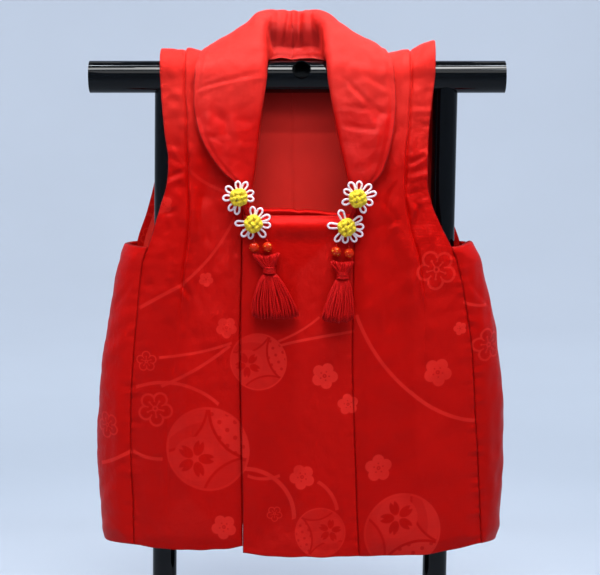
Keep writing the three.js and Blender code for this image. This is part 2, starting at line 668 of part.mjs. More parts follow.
// The two front bands lie over each other between the free edge and the right front's seam.
function makeBand(which) {
  const over = which === 'over';
  const lift = over ? LAYER : 0;
  const top = BAND[which];
  const heights = [...SIDE_HEIGHTS, 400, 418, top - 5, top];
  const parts = [0, 0.05, 0.14, 0.32, 0.5, 0.68, 0.86, 0.95, 1];
  const grid = (face) => heights.map((level) => {
    const free = -OUTLINE.left.inner(level) + GAP + (over ? 0 : GAP);
    const seam = OUTLINE.right.inner(level) + (over ? -GAP : BAND.tucked);
    return parts.map((part) => {
      const x = THREE.MathUtils.lerp(free, seam, part);
      const hem = bandHem(x) + (over ? 0 : BAND.shorter);
      const z = hemmed(level, hem, BACK_HEM);
      const inside = Math.min(x - free, seam - x, top - level + 1);
      const thick = WALL.edge + (WALL.puff - BAND.slimmer) * smooth(0, WALL.softEdge, inside);
      return drape(x, frontWay(z), lift + (face === 'outer' ? thick : 0));
    });
  });
  add(`front_band_${which}`, wallBetween(grid('inner'), grid('outer')), satin());
}

// ---------- collar ----------
// Keeps a point of the collar clear of the panel that it falls on.
function settle(side, point, clearance) {
  const { way, lift } = locate(point);
  const x = SIGN[side] * point.x;
  const edges = edgesAt(side, way);
  const onPanel = x > edges.inner - 2 && x < edges.outer + 2;
  const top = baseLift(side, x, way) + panelWall(side, x, way) + clearance;
  return onPanel && lift < top ? drape(point.x, way, top) : point;
}

function collarSection(side, row) {
  const sign = SIGN[side];
  const seam = NECK[side][NECK[side].length - 1].x;
  const neckX = (way) => edgesAt(side, way).inner;
  const lean = Math.min(0, (neckX(row.neck + 0.5) - neckX(row.neck - 0.5)));
  const unit = 1 / Math.hypot(1, lean);
  const x = Math.max(seam, neckX(row.neck) - COLLAR.seamIn * unit);
  const way = row.neck + COLLAR.seamIn * unit * lean;
  const neck = drape(sign * x, way, baseLift(side, x, way) + COLLAR.seamLift);
  const rollLift = baseLift(side, row.rollX, row.rollWay) + row.rollLift;
  const roll = drape(sign * row.rollX, row.rollWay, rollLift);
  const fall = drape(sign * row.fallX, row.fallWay, row.fallLift);
  const edge = settle(side, fall, COLLAR.lift);

  const stand = new THREE.Vector3().subVectors(neck, roll);
  const drop = new THREE.Vector3().subVectors(edge, roll);
  const corner = Math.min(COLLAR.corner, 0.45 * stand.length(), 0.45 * drop.length());
  const before = roll.clone().addScaledVector(stand.clone().normalize(), corner);
  const after = roll.clone().addScaledVector(drop.clone().normalize(), corner);
  const turn = new THREE.QuadraticBezierCurve3(before, roll, after);
  const across = new THREE.Vector3().crossVectors(stand, drop).normalize();
  const outward = new THREE.Vector3().crossVectors(across, drop).normalize();
  if (outward.dot(stand) > 0) outward.negate();

  const points = spread(0, 1, 2).slice(0, -1).map((t) => neck.clone().lerp(before, t));
  points.push(...turn.getPoints(4).slice(0, -1));
  for (const t of spread(0, 1, 5)) {
    const point = after.clone().lerp(edge, t);
    point.addScaledVector(outward, row.belly * Math.max(0, Math.sin(1.1 * Math.PI * t)));
    points.push(settle(side, point, COLLAR.lift));
  }
  return points;
}

function makeCollar(side) {
  const named = (row) => Object.fromEntries(row.map((value, k) => [COLLAR_COLUMNS[k], value]));
  const inner = COLLAR_ROWS[side].map((row) => collarSection(side, named(row)));
  const last = inner.length - 1;
  const columns = inner[0].length;
  const outer = inner.map((section, i) => section.map((point, j) => {
    const alongRow = section[Math.min(j + 1, columns - 1)].clone().sub(section[Math.max(j - 1, 0)]);
    const alongColumn = inner[Math.min(i + 1, last)][j].clone().sub(inner[Math.max(i - 1, 0)][j]);
    const normal = alongColumn.cross(alongRow).normalize();
    normal.multiplyScalar(-SIGN[side]);
    if (i === last) normal.setX(0).normalize();
    const inside = Math.min(j, columns - 1 - j, 2) / 2;
    return point.clone().addScaledVector(normal, COLLAR.edge + COLLAR.puff * inside);
  }));
  add(`collar_${side}`, wallBetween(inner, outer), satin());
}

// ---------- flower frogs, beads and tassels ----------
const onFront = (x, z, lift) => drape(x, frontWay(z), lift);

function petalLoop(angle, reach, thick) {
  const { root, half } = PETAL;
  const edge = [
    [root, 0.5],
    [root + PETAL.waist, 0.8 * half],
    [reach - PETAL.tip, half],
    [reach - PETAL.round, 0.86 * half],
  ];
  const mirrored = edge.toReversed().map(([along, across]) => [along, -across]);
  const shape = [...edge, [reach - thick, 0], ...mirrored];
  const turn = radians(angle);
  const points = shape.map(([along, across]) => new THREE.Vector3(
    along * Math.cos(turn) - across * Math.sin(turn),
    0,
    along * Math.sin(turn) + across * Math.cos(turn),
  ));
  return tube(points, thick, PETAL.sides, PETAL.steps);
}

function disc(radius, from, to, sides) {
  const geometry = new THREE.CylinderGeometry(radius, radius, to - from, sides);
  return geometry.translate(0, -(from + to) / 2, 0);
}

function makeFlower(flower) {
  const seat = onFront(flower.x, flower.z, flower.cloth);
  const place = new THREE.Matrix4().setPosition(seat);
  const raised = new THREE.Matrix4().setPosition(seat.x, seat.y - STACK.petal, seat.z);
  const loops = flower.loops.map(([angle, reach]) => petalLoop(angle, reach, PETAL.cord));
  const parts = loops.map((loop) => solidOf(loop, raised));
  parts.push(solidOf(disc(STACK.hubR, STACK.hubBottom, STACK.hubTop, 10), place));
  parts.push(solidOf(disc(STACK.stemR, STACK.stem, STACK.hubBottom + 1, 6), place));
  const petals = parts.reduce((joined, part) => joined.add(part));
  add(`petals_${flower.name}`, geometryOf(petals), white());

  const profile = KNOT_PROFILE.map(([r, h]) => new THREE.Vector2(r * KNOT.radius, h * KNOT.height));
  const knot = new THREE.LatheGeometry(profile, 20);
  const position = knot.attributes.position;
  for (let k = 0; k < position.count; k += 1) {
    const angle = Math.atan2(position.getZ(k), position.getX(k)) + radians(flower.turn);
    const swell = 1 + KNOT.swell * Math.cos(KNOT.corners * angle);
    position.setX(k, position.getX(k) * swell);
    position.setZ(k, position.getZ(k) * swell);
  }
  knot.rotateX(Math.PI);
  const mesh = add(`knot_${flower.name}`, knot, yellow());
  mesh.position.set(seat.x, seat.y - STACK.knot, seat.z);
}

function makeLink(name, points) {
  const places = points.map(([x, z, lift]) => onFront(x, z, lift));
  const path = new THREE.CatmullRomCurve3(places, false, 'centripetal');
  const flat = new THREE.Shape();
  flat.absellipse(0, 0, LINK_CORD.thick / 2, LINK_CORD.wide / 2, 0, 2 * Math.PI);
  const geometry = new THREE.ExtrudeGeometry(flat, { steps: 6, extrudePath: path, curveSegments: 4 });
  add(`link_cord_${name}`, geometry, silk());
}

function makeBeads(pendant) {
  const { radius, bore } = BEAD;
  const reach = Math.sqrt(radius ** 2 - bore ** 2);
  const limit = Math.atan2(reach, bore);
  const profile = spread(-limit, limit, 6).map((angle) => (
    new THREE.Vector2(Math.cos(angle), Math.sin(angle)).multiplyScalar(radius)
  ));
  profile.push(profile[0].clone());
  pendant.beads.forEach((bead, k) => {
    const geometry = new THREE.LatheGeometry(profile, 14);
    geometry.rotateX(Math.PI / 2);
    const seat = onFront(bead.x, bead.z, pendant.cloth + radius + BEAD.seat);
    add(`bead_${pendant.name}_${k + 1}`, geometry, glass()).position.copy(seat);
  });
}

// One cord: up from the tassel's head through a bead, across under the flower, and down through the other.
function makeBeadCord(pendant) {
  const flower = FLOWERS.find((one) => one.name === pendant.flower);
  const lift = pendant.cloth + BEAD.radius + BEAD.seat;
  const low = flower.cloth + 1.7;
  const [first, second] = pendant.beads;
  const legs = [first, second].map((bead) => [
    onFront(bead.x, bead.z - BEAD.radius, lift),
    onFront(bead.x, bead.z, lift),
    onFront(bead.x, bead.z + BEAD.radius + 0.5, lift),
    onFront(THREE.MathUtils.lerp(bead.x, flower.x, 0.16), bead.z + BEAD.radius + 2.4, low),
  ]);
  const under = onFront(flower.x + 3, flower.z - 7.5, low);
  const points = [...legs[0], under, ...legs[1].reverse()];
  add(`bead_cord_${pendant.name}`, tube(points, BEAD.cord, 5, 22), silk());
}

function makeTassel(pendant) {
  const { head, bound, skirt } = pendant;
  const seat = (x, z, lift) => onFront(x, z, pendant.cloth + TASSEL.seat + lift);
  const middle = LOBE.height + 0.4;
  const parts = [];
  for (const lobe of [-1, 1]) {
    const ball = new THREE.SphereGeometry(1, 12, 7);
    const place = new THREE.Matrix4().makeRotationY(radians(lobe * LOBE.turn - head.tilt));
    place.scale(new THREE.Vector3(head.half * LOBE.width, LOBE.height, LOBE.depth));
    const across = lobe * LOBE.out * head.half;
    place.setPosition(seat(head.x + across, head.z + across * Math.sin(radians(head.tilt)), middle));
    parts.push(solidOf(ball, place));
  }
  const waist = seat(bound.x, bound.z, middle);
  const neck = new THREE.CylinderGeometry(1, 1.04, TASSEL.binding, 14);
  const stretch = new THREE.Matrix4().makeRotationX(Math.PI / 2);
  stretch.premultiply(new THREE.Matrix4().makeScale(TASSEL.neck[0] + 0.7, TASSEL.neck[1] + 1, 1));
  stretch.setPosition(waist.x, waist.y, waist.z + 2.4);
  parts.push(solidOf(neck, stretch));

  for (let k = 0; k < TASSEL.strands; k += 1) {
    const ring = Math.sqrt((k + 0.5) / TASSEL.strands);
    const angle = radians(k * TASSEL.golden);
    const [u, v] = [ring * Math.cos(angle), ring * Math.sin(angle)];
    const points = [0, 0.4, 1].map((part) => {
      const widen = Math.sin((Math.PI / 2) * part) ** 0.9;
      const x = THREE.MathUtils.lerp(bound.x, skirt.x, part)
        + u * THREE.MathUtils.lerp(TASSEL.neck[0], skirt.half, widen);
      const z = THREE.MathUtils.lerp(bound.z, skirt.z + 1.6 * u * u, part);
      const depth = THREE.MathUtils.lerp(TASSEL.neck[1], skirt.depth, widen);
      return seat(x, z, Math.max(depth * (1 + v), 0) + 1.1);
    });
    parts.push(solidOf(tube(points, TASSEL.side, 3, 2)));
  }
  const tassel = parts.reduce((joined, part) => joined.add(part));
  add(`tassel_${pendant.name}`, geometryOf(tassel), silk());
}

makeStand();
for (const side of ['left', 'right']) {
  makeBody(side);
  makeLining(side);
  makeGusset(side);
  makeCollar(side);
}
makeBand('under');
makeBand('over');
FLOWERS.forEach(makeFlower);
for (const [name, points] of Object.entries(LINKS)) makeLink(name, points);
for (const pendant of PENDANTS) {
  makeBeads(pendant);
  makeBeadCord(pendant);
  makeTassel(pendant);
}

export default coat;
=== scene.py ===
"""The looks of a three-year-old's padded damask hifu coat, buttoned, on a steel-tube display stand.

Blender works in metres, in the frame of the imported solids. The tables and functions below are in
millimetres, and a mesh is brought to metres when it is made. "left" and "right" are as seen from
the front. On a side, x counts outwards from the middle.
"""
import math

import bpy
import numpy as np
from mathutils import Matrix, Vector


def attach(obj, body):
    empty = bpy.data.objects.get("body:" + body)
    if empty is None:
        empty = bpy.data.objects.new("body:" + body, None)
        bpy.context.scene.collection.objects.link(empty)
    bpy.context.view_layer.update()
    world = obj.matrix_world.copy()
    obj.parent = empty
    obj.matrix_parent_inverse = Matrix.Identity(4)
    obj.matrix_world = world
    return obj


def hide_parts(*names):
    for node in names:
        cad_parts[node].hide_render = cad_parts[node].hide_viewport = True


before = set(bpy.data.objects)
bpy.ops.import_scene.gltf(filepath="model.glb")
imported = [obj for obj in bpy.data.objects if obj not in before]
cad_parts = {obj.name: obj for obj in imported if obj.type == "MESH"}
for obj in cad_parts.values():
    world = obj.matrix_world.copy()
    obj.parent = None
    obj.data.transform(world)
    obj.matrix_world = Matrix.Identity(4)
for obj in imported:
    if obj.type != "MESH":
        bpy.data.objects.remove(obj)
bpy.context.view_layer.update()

MM = 0.001
SIGN = {"left": -1, "right": 1}
SIDES = ("left", "right")
SEED = {"left": 4, "right": 5}     # parts the random draws of the two sides

# ---------- sizes shared with the solids ----------
TUBE_Z, REST_R = 559.0, 15.9     # the tube's middle, and the radius on which the cloth rests
ARC = math.pi * REST_R
DROP = 447.0              # from the tube's middle to the hem
TURN_X = 160.0            # where the hem has turned in towards the gussets
# how far the hem stands out at the middle, and how much less it does at TURN_X
HANG_FRONT, HANG_BACK = (36, 20), (26, 14)
BACK_SEAM_X = -7.5
# a wall's thickness at its edge, what the padding adds, and how far in it is at its fullest
WALL_EDGE, WALL_PUFF, SOFT_EDGE = 3.2, 2.0, 15.0
SEAM_MEET = 0.15          # closes half the gap that the solids keep at a seam
# room for the lining under the back, its thickness, and how far its side stays inside the back's
LINING_INSET, LINING_THICK, LINING_MARGIN = 1.7, 1.1, 7.0
LAYER, GAP = 5.4, 0.3     # what one cloth lifts the next by, and the air between two edges
BACK_HEM, HEM_BLEND = 112.0, 70.0     # the back hem's height, and how far up the front hem's curve reaches
BAND_TOP = {"over": 431.5, "under": 436.8}
STRIP = {"left": (3.4, 6.0, 1.0), "right": (3.4, 7.0, 7.0)}   # at the tuck, at the armhole, off the tube

# z, inner edge, tuck, outer edge of each front panel
FRONT = {
    "left": [
        (112, 54.3, 125, 159.3), (150, 54.3, 125, 159.5), (200, 55.0, 124, 161.3),
        (240, 55.6, 122, 161.0), (300, 56.2, 117, 157.5), (350, 55.4, 111, 152.5),
        (385, 54.4, 108, 148.5), (400, 54.2, 106.6, 143.4), (420, 54.0, 104, 136.8),
        (442, 51.8, 103.6, 130.0), (462, 47.9, 103.9, 124.4), (482, 45.2, 104.3, 123.2),
        (505, 42.9, 105.0, 126.2), (532, 39.3, 105.9, 128.7), (559, 35.2, 106.8, 130.4),
    ],
    "right": [
        (112, 55.8, 120, 174.3), (150, 53.8, 120, 172.2), (200, 52.2, 119, 169.6),
        (240, 50.6, 118, 166.9), (300, 49.0, 117, 163.2), (350, 49.4, 116, 155.8),
        (385, 50.0, 113, 148.4), (400, 50.2, 109, 142.8), (420, 51.4, 103, 132.6),
        (442, 51.8, 98.6, 123.4), (462, 49.6, 97.9, 119.4), (482, 44.9, 99.0, 119.5),
        (505, 39.6, 100.5, 120.2), (532, 34.6, 101.7, 122.6), (559, 30.2, 102.7, 125.8),
    ],
}
# way over the tube, neck edge
NECK = {
    "left": [(0, 35.2), (12.5, 34.6), (19, 33.4), (25, 30.4), (28.2, 27.4), (31.3, 22.8), (34.4, 16.8),
             (37.5, 7.65)],
    "right": [(0, 30.2), (12.5, 29.8), (19, 28.8), (25, 26.0), (28.2, 22.6), (31.3, 16.6), (34.4, 7.0),
              (37.5, -7.35)],
}
# z, outer edge of each back panel
BACK = {
    "left": [(112, 173), (200, 176), (300, 171), (400, 158), (430, 148), (460, 140), (490, 134.5),
             (525, 131.6), (559, 130.8)],
    "right": [(112, 180), (200, 180), (300, 174), (400, 155), (430, 144), (460, 136), (490, 130.5),
              (525, 127.8), (559, 127)],
}
# z, farthest reach of each gusset
REACH = {
    "left": [(110, 190.9), (140, 193.7), (171, 195.3), (200, 196.1), (230, 195.3), (268, 192.2),
             (298, 188.1), (341, 181.1), (378, 173.9), (402, 167.7)],
    "right": [(108, 190.7), (140, 194.6), (171, 197.0), (200, 197.7), (230, 197.0), (268, 194.8),
              (298, 191.4), (341, 183.8), (378, 174.6), (402, 164.6)],
}
# x, hem height
HEM = {
    "left": [(54, 118.2), (81, 113.6), (122, 112), (141, 112.6), (160, 114.8)],
    "right": [(50, 110.5), (87, 108.7), (114, 107.2), (141, 109.8), (175, 114.8)],
    "band": [(-54, 114), (-27, 111), (19, 110), (56, 110.5)],
}
# neck seam's way; roll x, way, lift; edge of the fall x, way, lift; belly of the fall
COLLAR = {
    "left": [
        (-121, 51.4, -121, 5.4, 57, -119, 6, 0), (-104, 48.6, -104, 5.4, 61, -98, 11, 0.3),
        (-88, 45.9, -88, 5.4, 70.5, -90, 14, 0.8), (-68, 43.6, -68, 5.4, 87, -67, 14, 1.4),
        (-48, 41.5, -48, 5.4, 94.8, -48, 12, 1.8), (-25, 38.4, -25, 5.6, 98.8, -25, 6, 2),
        (-4, 35.2, -4, 6, 98.4, -6, 7, 2), (9, 34.6, 10.6, 8.3, 97, 6, 8, 1.6),
        (17, 35.4, 19.1, 17.3, 93.5, 14, 6.5, 0.8), (22.5, 36.6, 25, 28.5, 90, 22, 6.5, 0),
        (26.5, 36.6, 28.6, 36.6, 87, 30, 7, -1), (30, 34, 30.6, 42.4, 81, 39, 9, -1.5),
        (33, 27.6, 31.8, 45, 68, 49, 13, 0.5), (35.6, 18.4, 32.4, 45.8, 40, 58, 14.6, 1.6),
        (37.5, 7.65, 32.6, 46, 7.65, 62, 15.2, 2),
    ],
    "right": [
        (-120, 51.6, -120, 5.4, 57, -118, 6, 0), (-103, 50.2, -103, 5.4, 64, -101, 11, 0.3),
        (-88, 46.6, -88, 5.4, 75.5, -90, 14, 0.8), (-68, 42.2, -68, 5.4, 83.2, -68, 14, 1.4),
        (-48, 38.2, -48, 5.4, 87.4, -47, 12, 1.8), (-25, 34, -25, 5.6, 89.3, -25, 6, 2),
        (-4, 30.2, -4, 6, 88.2, -6, 7, 2), (9, 28.4, 10.6, 8.3, 87, 6, 8, 1.6),
        (17, 26.6, 19.1, 17.3, 83.5, 14, 6.5, 0.8), (22.5, 25.2, 25, 28.5, 79.5, 22, 6.5, 0),
        (26.5, 23.4, 28.6, 36.6, 76, 30, 7, -1), (30, 19.4, 30.6, 42.4, 70, 39, 9, -1.5),
        (33, 11.6, 31.8, 45, 58, 49, 13, 0.5), (35.6, 2.4, 32.4, 45.8, 28, 58, 14.6, 1.6),
        (37.5, -7.35, 32.6, 46, -7.35, 62, 15.2, 2),
    ],
}


# ---------- curves ----------
def smooth(start, end, value):
    """0 before start, 1 after end and smooth between them."""
    t = np.clip((np.asarray(value, float) - start) / (end - start), 0, 1)
    return t * t * (3 - 2 * t)


def curve_of(rows, column=1):
    """A curve through a table's rows that never swings past them."""
    at = np.array([row[0] for row in rows], float)
    value = np.array([row[column] for row in rows], float)
    slope = np.diff(value) / np.diff(at)
    tangent = np.concatenate([[slope[0]], np.zeros(len(at) - 2), [slope[-1]]])
    for k in range(1, len(at) - 1):
        if slope[k - 1] * slope[k] > 0:
            tangent[k] = 2 * slope[k - 1] * slope[k] / (slope[k - 1] + slope[k])

    def curve(place):
        q = np.clip(np.asarray(place, float), at[0], at[-1])
        k = np.clip(np.searchsorted(at, q, side="left") - 1, 0, len(at) - 2)
        span = at[k + 1] - at[k]
        t = (q - at[k]) / span
        cubic = (2 * t - 3) * t * t
        return (value[k] * (cubic + 1) - value[k + 1] * cubic
                + span * t * (1 - t) * (tangent[k] * (1 - t) - tangent[k + 1] * t))
    return curve


OUTLINE = {
    side: {
        "inner": curve_of(FRONT[side], 1), "tuck": curve_of(FRONT[side], 2),
        "outer": curve_of(FRONT[side], 3), "neck": curve_of(NECK[side]),
        "back": curve_of(BACK[side]), "reach": curve_of(REACH[side]), "hem": curve_of(HEM[side]),
    }
    for side in SIDES
}
BAND_HEM = curve_of(HEM["band"])


# ---------- the cloth's way over the tube ----------
def front_way(z):
    return z - TUBE_Z


def back_way(z):
    return ARC + TUBE_Z - z


def stand_off(x, hang):
    """How far the hem stands out beyond the tube's front or back."""
    return hang[0] - hang[1] * (x / TURN_X) ** 2


def drape(x, way, lift):
    """Points at cloth places x and way: way < 0 hangs in front, 0 to ARC is over the tube, then the back."""
    x, way, lift = np.broadcast_arrays(*(np.asarray(q, float) for q in (x, way, lift)))
    front = REST_R + stand_off(x, HANG_FRONT) * np.clip(-way / DROP, 0, None)
    back = REST_R + stand_off(x, HANG_BACK) * np.clip((way - ARC) / DROP, 0, None)
    angle = np.clip(way, 0, ARC) / REST_R
    round_y = -(REST_R + lift) * np.cos(angle)
    y = np.where(way < 0, -front - lift, np.where(way > ARC, back + lift, round_y))
    return np.stack([x, y, height_at(way) + (REST_R + lift) * np.sin(angle)], -1)


def locate(point):
    """The way and the lift of a point."""
    x, y, z = point
    rise = z - TUBE_Z
    if rise < 0:
        depth = stand_off(x, HANG_FRONT if y < 0 else HANG_BACK)
        return (rise if y < 0 else ARC - rise), abs(y) - REST_R + rise / DROP * depth
    return math.atan2(rise, -y) * REST_R, math.hypot(y, rise) - REST_R


def height_at(way):
    return TUBE_Z + np.minimum(way, 0) - np.maximum(way - ARC, 0)


def edges_at(side, way):
    """A panel's inner edge, tuck and outer edge."""
    line = OUTLINE[side]
    z = height_at(way)
    over = smooth(0, ARC, way)
    inner = np.where(way < 0, line["inner"](z), line["neck"](way))
    on_arc = line["outer"](z) * (1 - over) + line["back"](z) * over
    outer = np.where(way < 0, line["outer"](z), np.where(way > ARC, line["back"](z), on_arc))
    wander = 0.45 * np.sin(z / 17 + SIGN[side]) + 0.3 * np.sin(z / 6.3 + 2 * SIGN[side])
    return inner, line["tuck"](z) + wander, outer


def neck_lift(side, x, way):
    """What the collar's seam lifts the back of the neck by."""
    from_seam = np.abs(SIGN[side] * x - BACK_SEAM_X)
    return 5 * smooth(18, 36, way) * smooth(62, 20, from_seam) * smooth(ARC + 70, ARC, way)


def base_lift(side, x, way):
    """Lift of a panel's inner face."""
    _, tuck, outer = edges_at(side, way)
    over_band = smooth(103, 56, x) * smooth(0, front_way(BAND_TOP["over"]) + 20, way)
    lift = np.where(way < 0, LAYER * over_band if side == "right" else 0, 0)
    on_tube = (way > 0) & (way < ARC)
    lift = lift + np.where(on_tube, STRIP[side][2] * np.sin(way / REST_R) * smooth(tuck, outer, x), 0)
    return lift + neck_lift(side, x, way) + LINING_INSET * smooth(18, 36, way)


def fold_edge(beside):
    """The tuck's fold: 0 outside it, a quarter round up to 1 on top."""
    top = np.sqrt(np.clip(1 - (1 - np.clip(beside / 2.2, 0, 1)) ** 2, 0, 1))
    return np.where(beside > 0, top, 0)


def panel_wall(side, x, way, inside):
    """Wall thickness of a panel, with the shoulder tuck standing up on its neck side."""
    _, tuck, outer = edges_at(side, way)
    hang = np.abs(way - ARC / 2) - ARC / 2
    along = np.where(way < ARC / 2, smooth(235, 165, hang), smooth(190, 130, hang))
    beside = tuck - x
    crown = np.where((way > 0) & (way < ARC), np.sin(way / REST_R), 0)
    ridge = 3.5 * smooth(24, 6, beside) * fold_edge(beside) * (1 - 0.8 * crown)
    groove = 1.3 * np.exp(-((x - tuck - 0.6) / 1.1) ** 2) * (0.25 + 0.75 * along)
    at_tuck, at_arm, _ = STRIP[side]
    folded = at_tuck + (at_arm - at_tuck) * smooth(tuck, outer, x)
    strip = folded * crown * smooth(24, 0, beside)
    fade = smooth(300, 235, hang)
    return WALL_EDGE + WALL_PUFF * smooth(0, SOFT_EDGE, inside) + along * ridge + strip - groove * fade


# ---------- relief ----------
def creases(u, v, rows):
    """Listed folds: start u, v, end u, v, width, depth and bend to the left of their way."""
    total = np.zeros(np.broadcast(u, v).shape)
    for u0, v0, u1, v1, width, depth, bend in rows:
        du, dv = u1 - u0, v1 - v0
        length = math.hypot(du, dv)
        t = ((u - u0) * du + (v - v0) * dv) / length ** 2
        off = ((u - u0) * dv - (v - v0) * du) / length - bend * np.sin(np.pi * np.clip(t, 0, 1))
        taper = smooth(-0.08, 0.25, t) * smooth(1.08, 0.7, t)
        valley = np.exp(-(off / width) ** 2)
        ridge = 0.55 * np.exp(-((off - 1.9 * width) / (1.6 * width)) ** 2)
        total += depth * taper * (ridge - valley)
    return total


def ripple(u, v, size, seed, count=7):
    """Smooth uneven waves about size long, between about -1 and 1."""
    rng = np.random.default_rng(seed)
    total = np.zeros(np.broadcast(u, v).shape)
    for _ in range(count):
        heading = rng.uniform(0, 2 * math.pi)
        k = 2 * math.pi / (size * rng.uniform(0.65, 1.5))
        total += np.sin(k * (u * math.cos(heading) + v * math.sin(heading)) + rng.uniform(0, 6.28))
    return total / math.sqrt(count)


def crumple(u, v, size, seed):
    """Sharp little folds with soft cloth between them, between about -1 and 0.3."""
    bent_u = u + 0.25 * size * ripple(u, v, size * 1.7, seed + 500, 4)
    bent_v = v + 0.25 * size * ripple(u, v, size * 1.7, seed + 600, 4)
    return 0.3 - np.exp(-(ripple(bent_u, bent_v, size * 2, seed, 5) / 0.16) ** 2)


def waves(u, v, inside, amount, size, seed):
    """The padding's ripples. They die out towards an edge, the long ones further in."""
    return amount * ripple(u, v, size, seed) * (smooth(2, 16, inside) if size > 30 else smooth(1, 8, inside))


def puckers(along, inside, size, reach, seed):
    """Short gathers across a seam that die out inside the cloth."""
    wave = ripple(along, 0 * along, size, seed, 5)
    return wave * np.exp(-inside / reach)


# start u and v, end u and v, width, depth and bend; u is x as seen from the front and v the way
PANEL_CREASES = {
    "left": [
        (-124, -230, -126, -430, 1.6, 0.5, 1), (-131, -96, -107, -87, 2.2, 1.7, 0),
        (-128, -128, -113, -122, 2.2, 0.8, 0), (-130, -60, -112, -66, 2.5, 0.7, 0),
        (-128, -12, -108, -8, 2.4, 0.6, 1), (-122, -76, -106, -80, 1.8, 0.7, 1),
        (-112, -192, -102, -206, 2.0, 1.5, 0), (-98, -188, -90, -214, 2.2, 0.9, 2),
        (-92, -104, -84, -160, 3, 1.0, 3), (-72, -128, -92, -196, 4, 0.7, -5),
        (-62, -150, -58, -205, 3, 0.4, 2), (-150, -170, -132, -240, 5, 0.4, 4),
        (-100, -140, -100, -260, 7, 0.5, 6), (-75, -250, -66, -330, 7, 0.35, -5),
        (-148, -300, -128, -400, 6, 0.35, 5),
    ],
    "right": [
        (110, -150, 116, -224, 2.2, 1.3, 3), (80, -212, 82, -240, 1.7, 1.3, 0),
        (119, 16, 107, 1, 1.5, 0.9, 2), (104, -27, 124, -28, 1.7, 1.3, 0),
        (99, -82, 121, -70, 1.9, 1.7, 0), (108, -114, 126, -109, 1.8, 1.4, 0),
        (101, -105, 116, -128, 2.0, 1.2, 1), (80, -138, 94, -132, 1.6, 1.0, 0),
        (92, -94, 80, -128, 2.4, 1.0, 3), (102, -98, 112, -140, 2.6, 0.9, -3),
        (74, -112, 94, -140, 2.4, 0.8, -2), (118, -112, 104, -150, 2.2, 0.8, 2),
        (124, -92, 104, -98, 1.8, 0.9, 1), (102, -40, 120, -44, 1.6, 0.8, 1),
        (101, -55, 120, -50, 1.8, 0.8, -1),
        (96, -14, 120, -6, 1.9, 0.5, 1), (104, -64, 118, -60, 1.6, 0.45, 0),
        (132, -140, 122, -176, 2.6, 0.7, 2), (140, -172, 156, -186, 2.6, 0.6, 2),
        (62, -150, 66, -215, 3, 0.45, -2), (96, -190, 104, -290, 6, 0.45, 5),
        (140, -230, 134, -320, 6, 0.4, -4), (150, -200, 160, -230, 3, 0.5, 2),
    ],
}
BACK_CREASES = {
    "left": [
        (-126, 96, -108, 90, 2.4, 1.0, 1), (-124, 142, -106, 132, 2.4, 0.8, 0),
        (-104, 190, -98, 256, 3.0, 0.9, 2), (-60, 106, -86, 184, 5, 0.8, -4),
        (-30, 112, -24, 232, 6, 0.6, 4), (-120, 230, -138, 336, 6, 0.6, -5),
        (-72, 262, -60, 404, 8, 0.6, 6),
    ],
    "right": [
        (106, 86, 124, 98, 2.4, 1.1, -1), (104, 130, 122, 143, 2.2, 0.9, 1),
        (97, 196, 104, 264, 3.0, 0.9, -2), (54, 102, 82, 178, 5, 0.8, 4),
        (24, 126, 16, 244, 6, 0.6, -4), (122, 240, 142, 344, 6, 0.6, 5),
        (62, 284, 76, 412, 8, 0.6, -6),
    ],
}
# u is along the gusset from its front seam and v is z
GUSSET_CREASES = [
    (4, 372, 28, 340, 2.8, 0.8, 2), (66, 362, 42, 318, 3.2, 0.7, -2), (18, 262, 26, 158, 5, 0.6, 3),
    (54, 242, 46, 136, 5, 0.5, -3), (2, 196, 20, 184, 2.4, 0.6, 0),
]


# how rough the armhole seam is and how high the strip beside it waves, where the photo shows them so
ROUGH, STRIP_WAVE = {"left": 1.0, "right": 1.6}, {"left": 0.3, "right": 0.75}


def panel_relief(side, x, way, inside):
    out, seed = SIGN[side] * x, SEED[side]
    inner, tuck, outer = edges_at(side, way)
    upper, lower = smooth(-330, -90, way), smooth(-200, -320, way)
    relief = waves(out, way, inside, 0.38 + 0.3 * upper, 52, seed - 1)
    relief += waves(out, way, inside, 0.16 + 0.2 * upper, 18, seed + 9)
    relief += (0.08 + 0.36 * upper) * crumple(out, way, 17, seed + 19) * smooth(1, 6, inside)
    relief += 1.25 * creases(out, way, PANEL_CREASES[side]) * smooth(40, -60, way)
    relief += 1.25 * creases(out, way, BACK_CREASES[side]) * smooth(ARC + 5, ARC + 35, way)
    gathers = puckers(way, np.maximum(outer - x, 0), 9, 5, seed + 21)
    relief += 0.42 * ROUGH[side] * (1 + 0.5 * lower) * gathers
    relief += 0.22 * puckers(way, np.maximum(x - inner, 0), 11, 4, seed + 31)
    on_strip = smooth(-2, 4, x - tuck) * smooth(-150, -90, way)
    return relief + STRIP_WAVE[side] * on_strip * ripple(out * 0.5, way, 14, seed + 41)


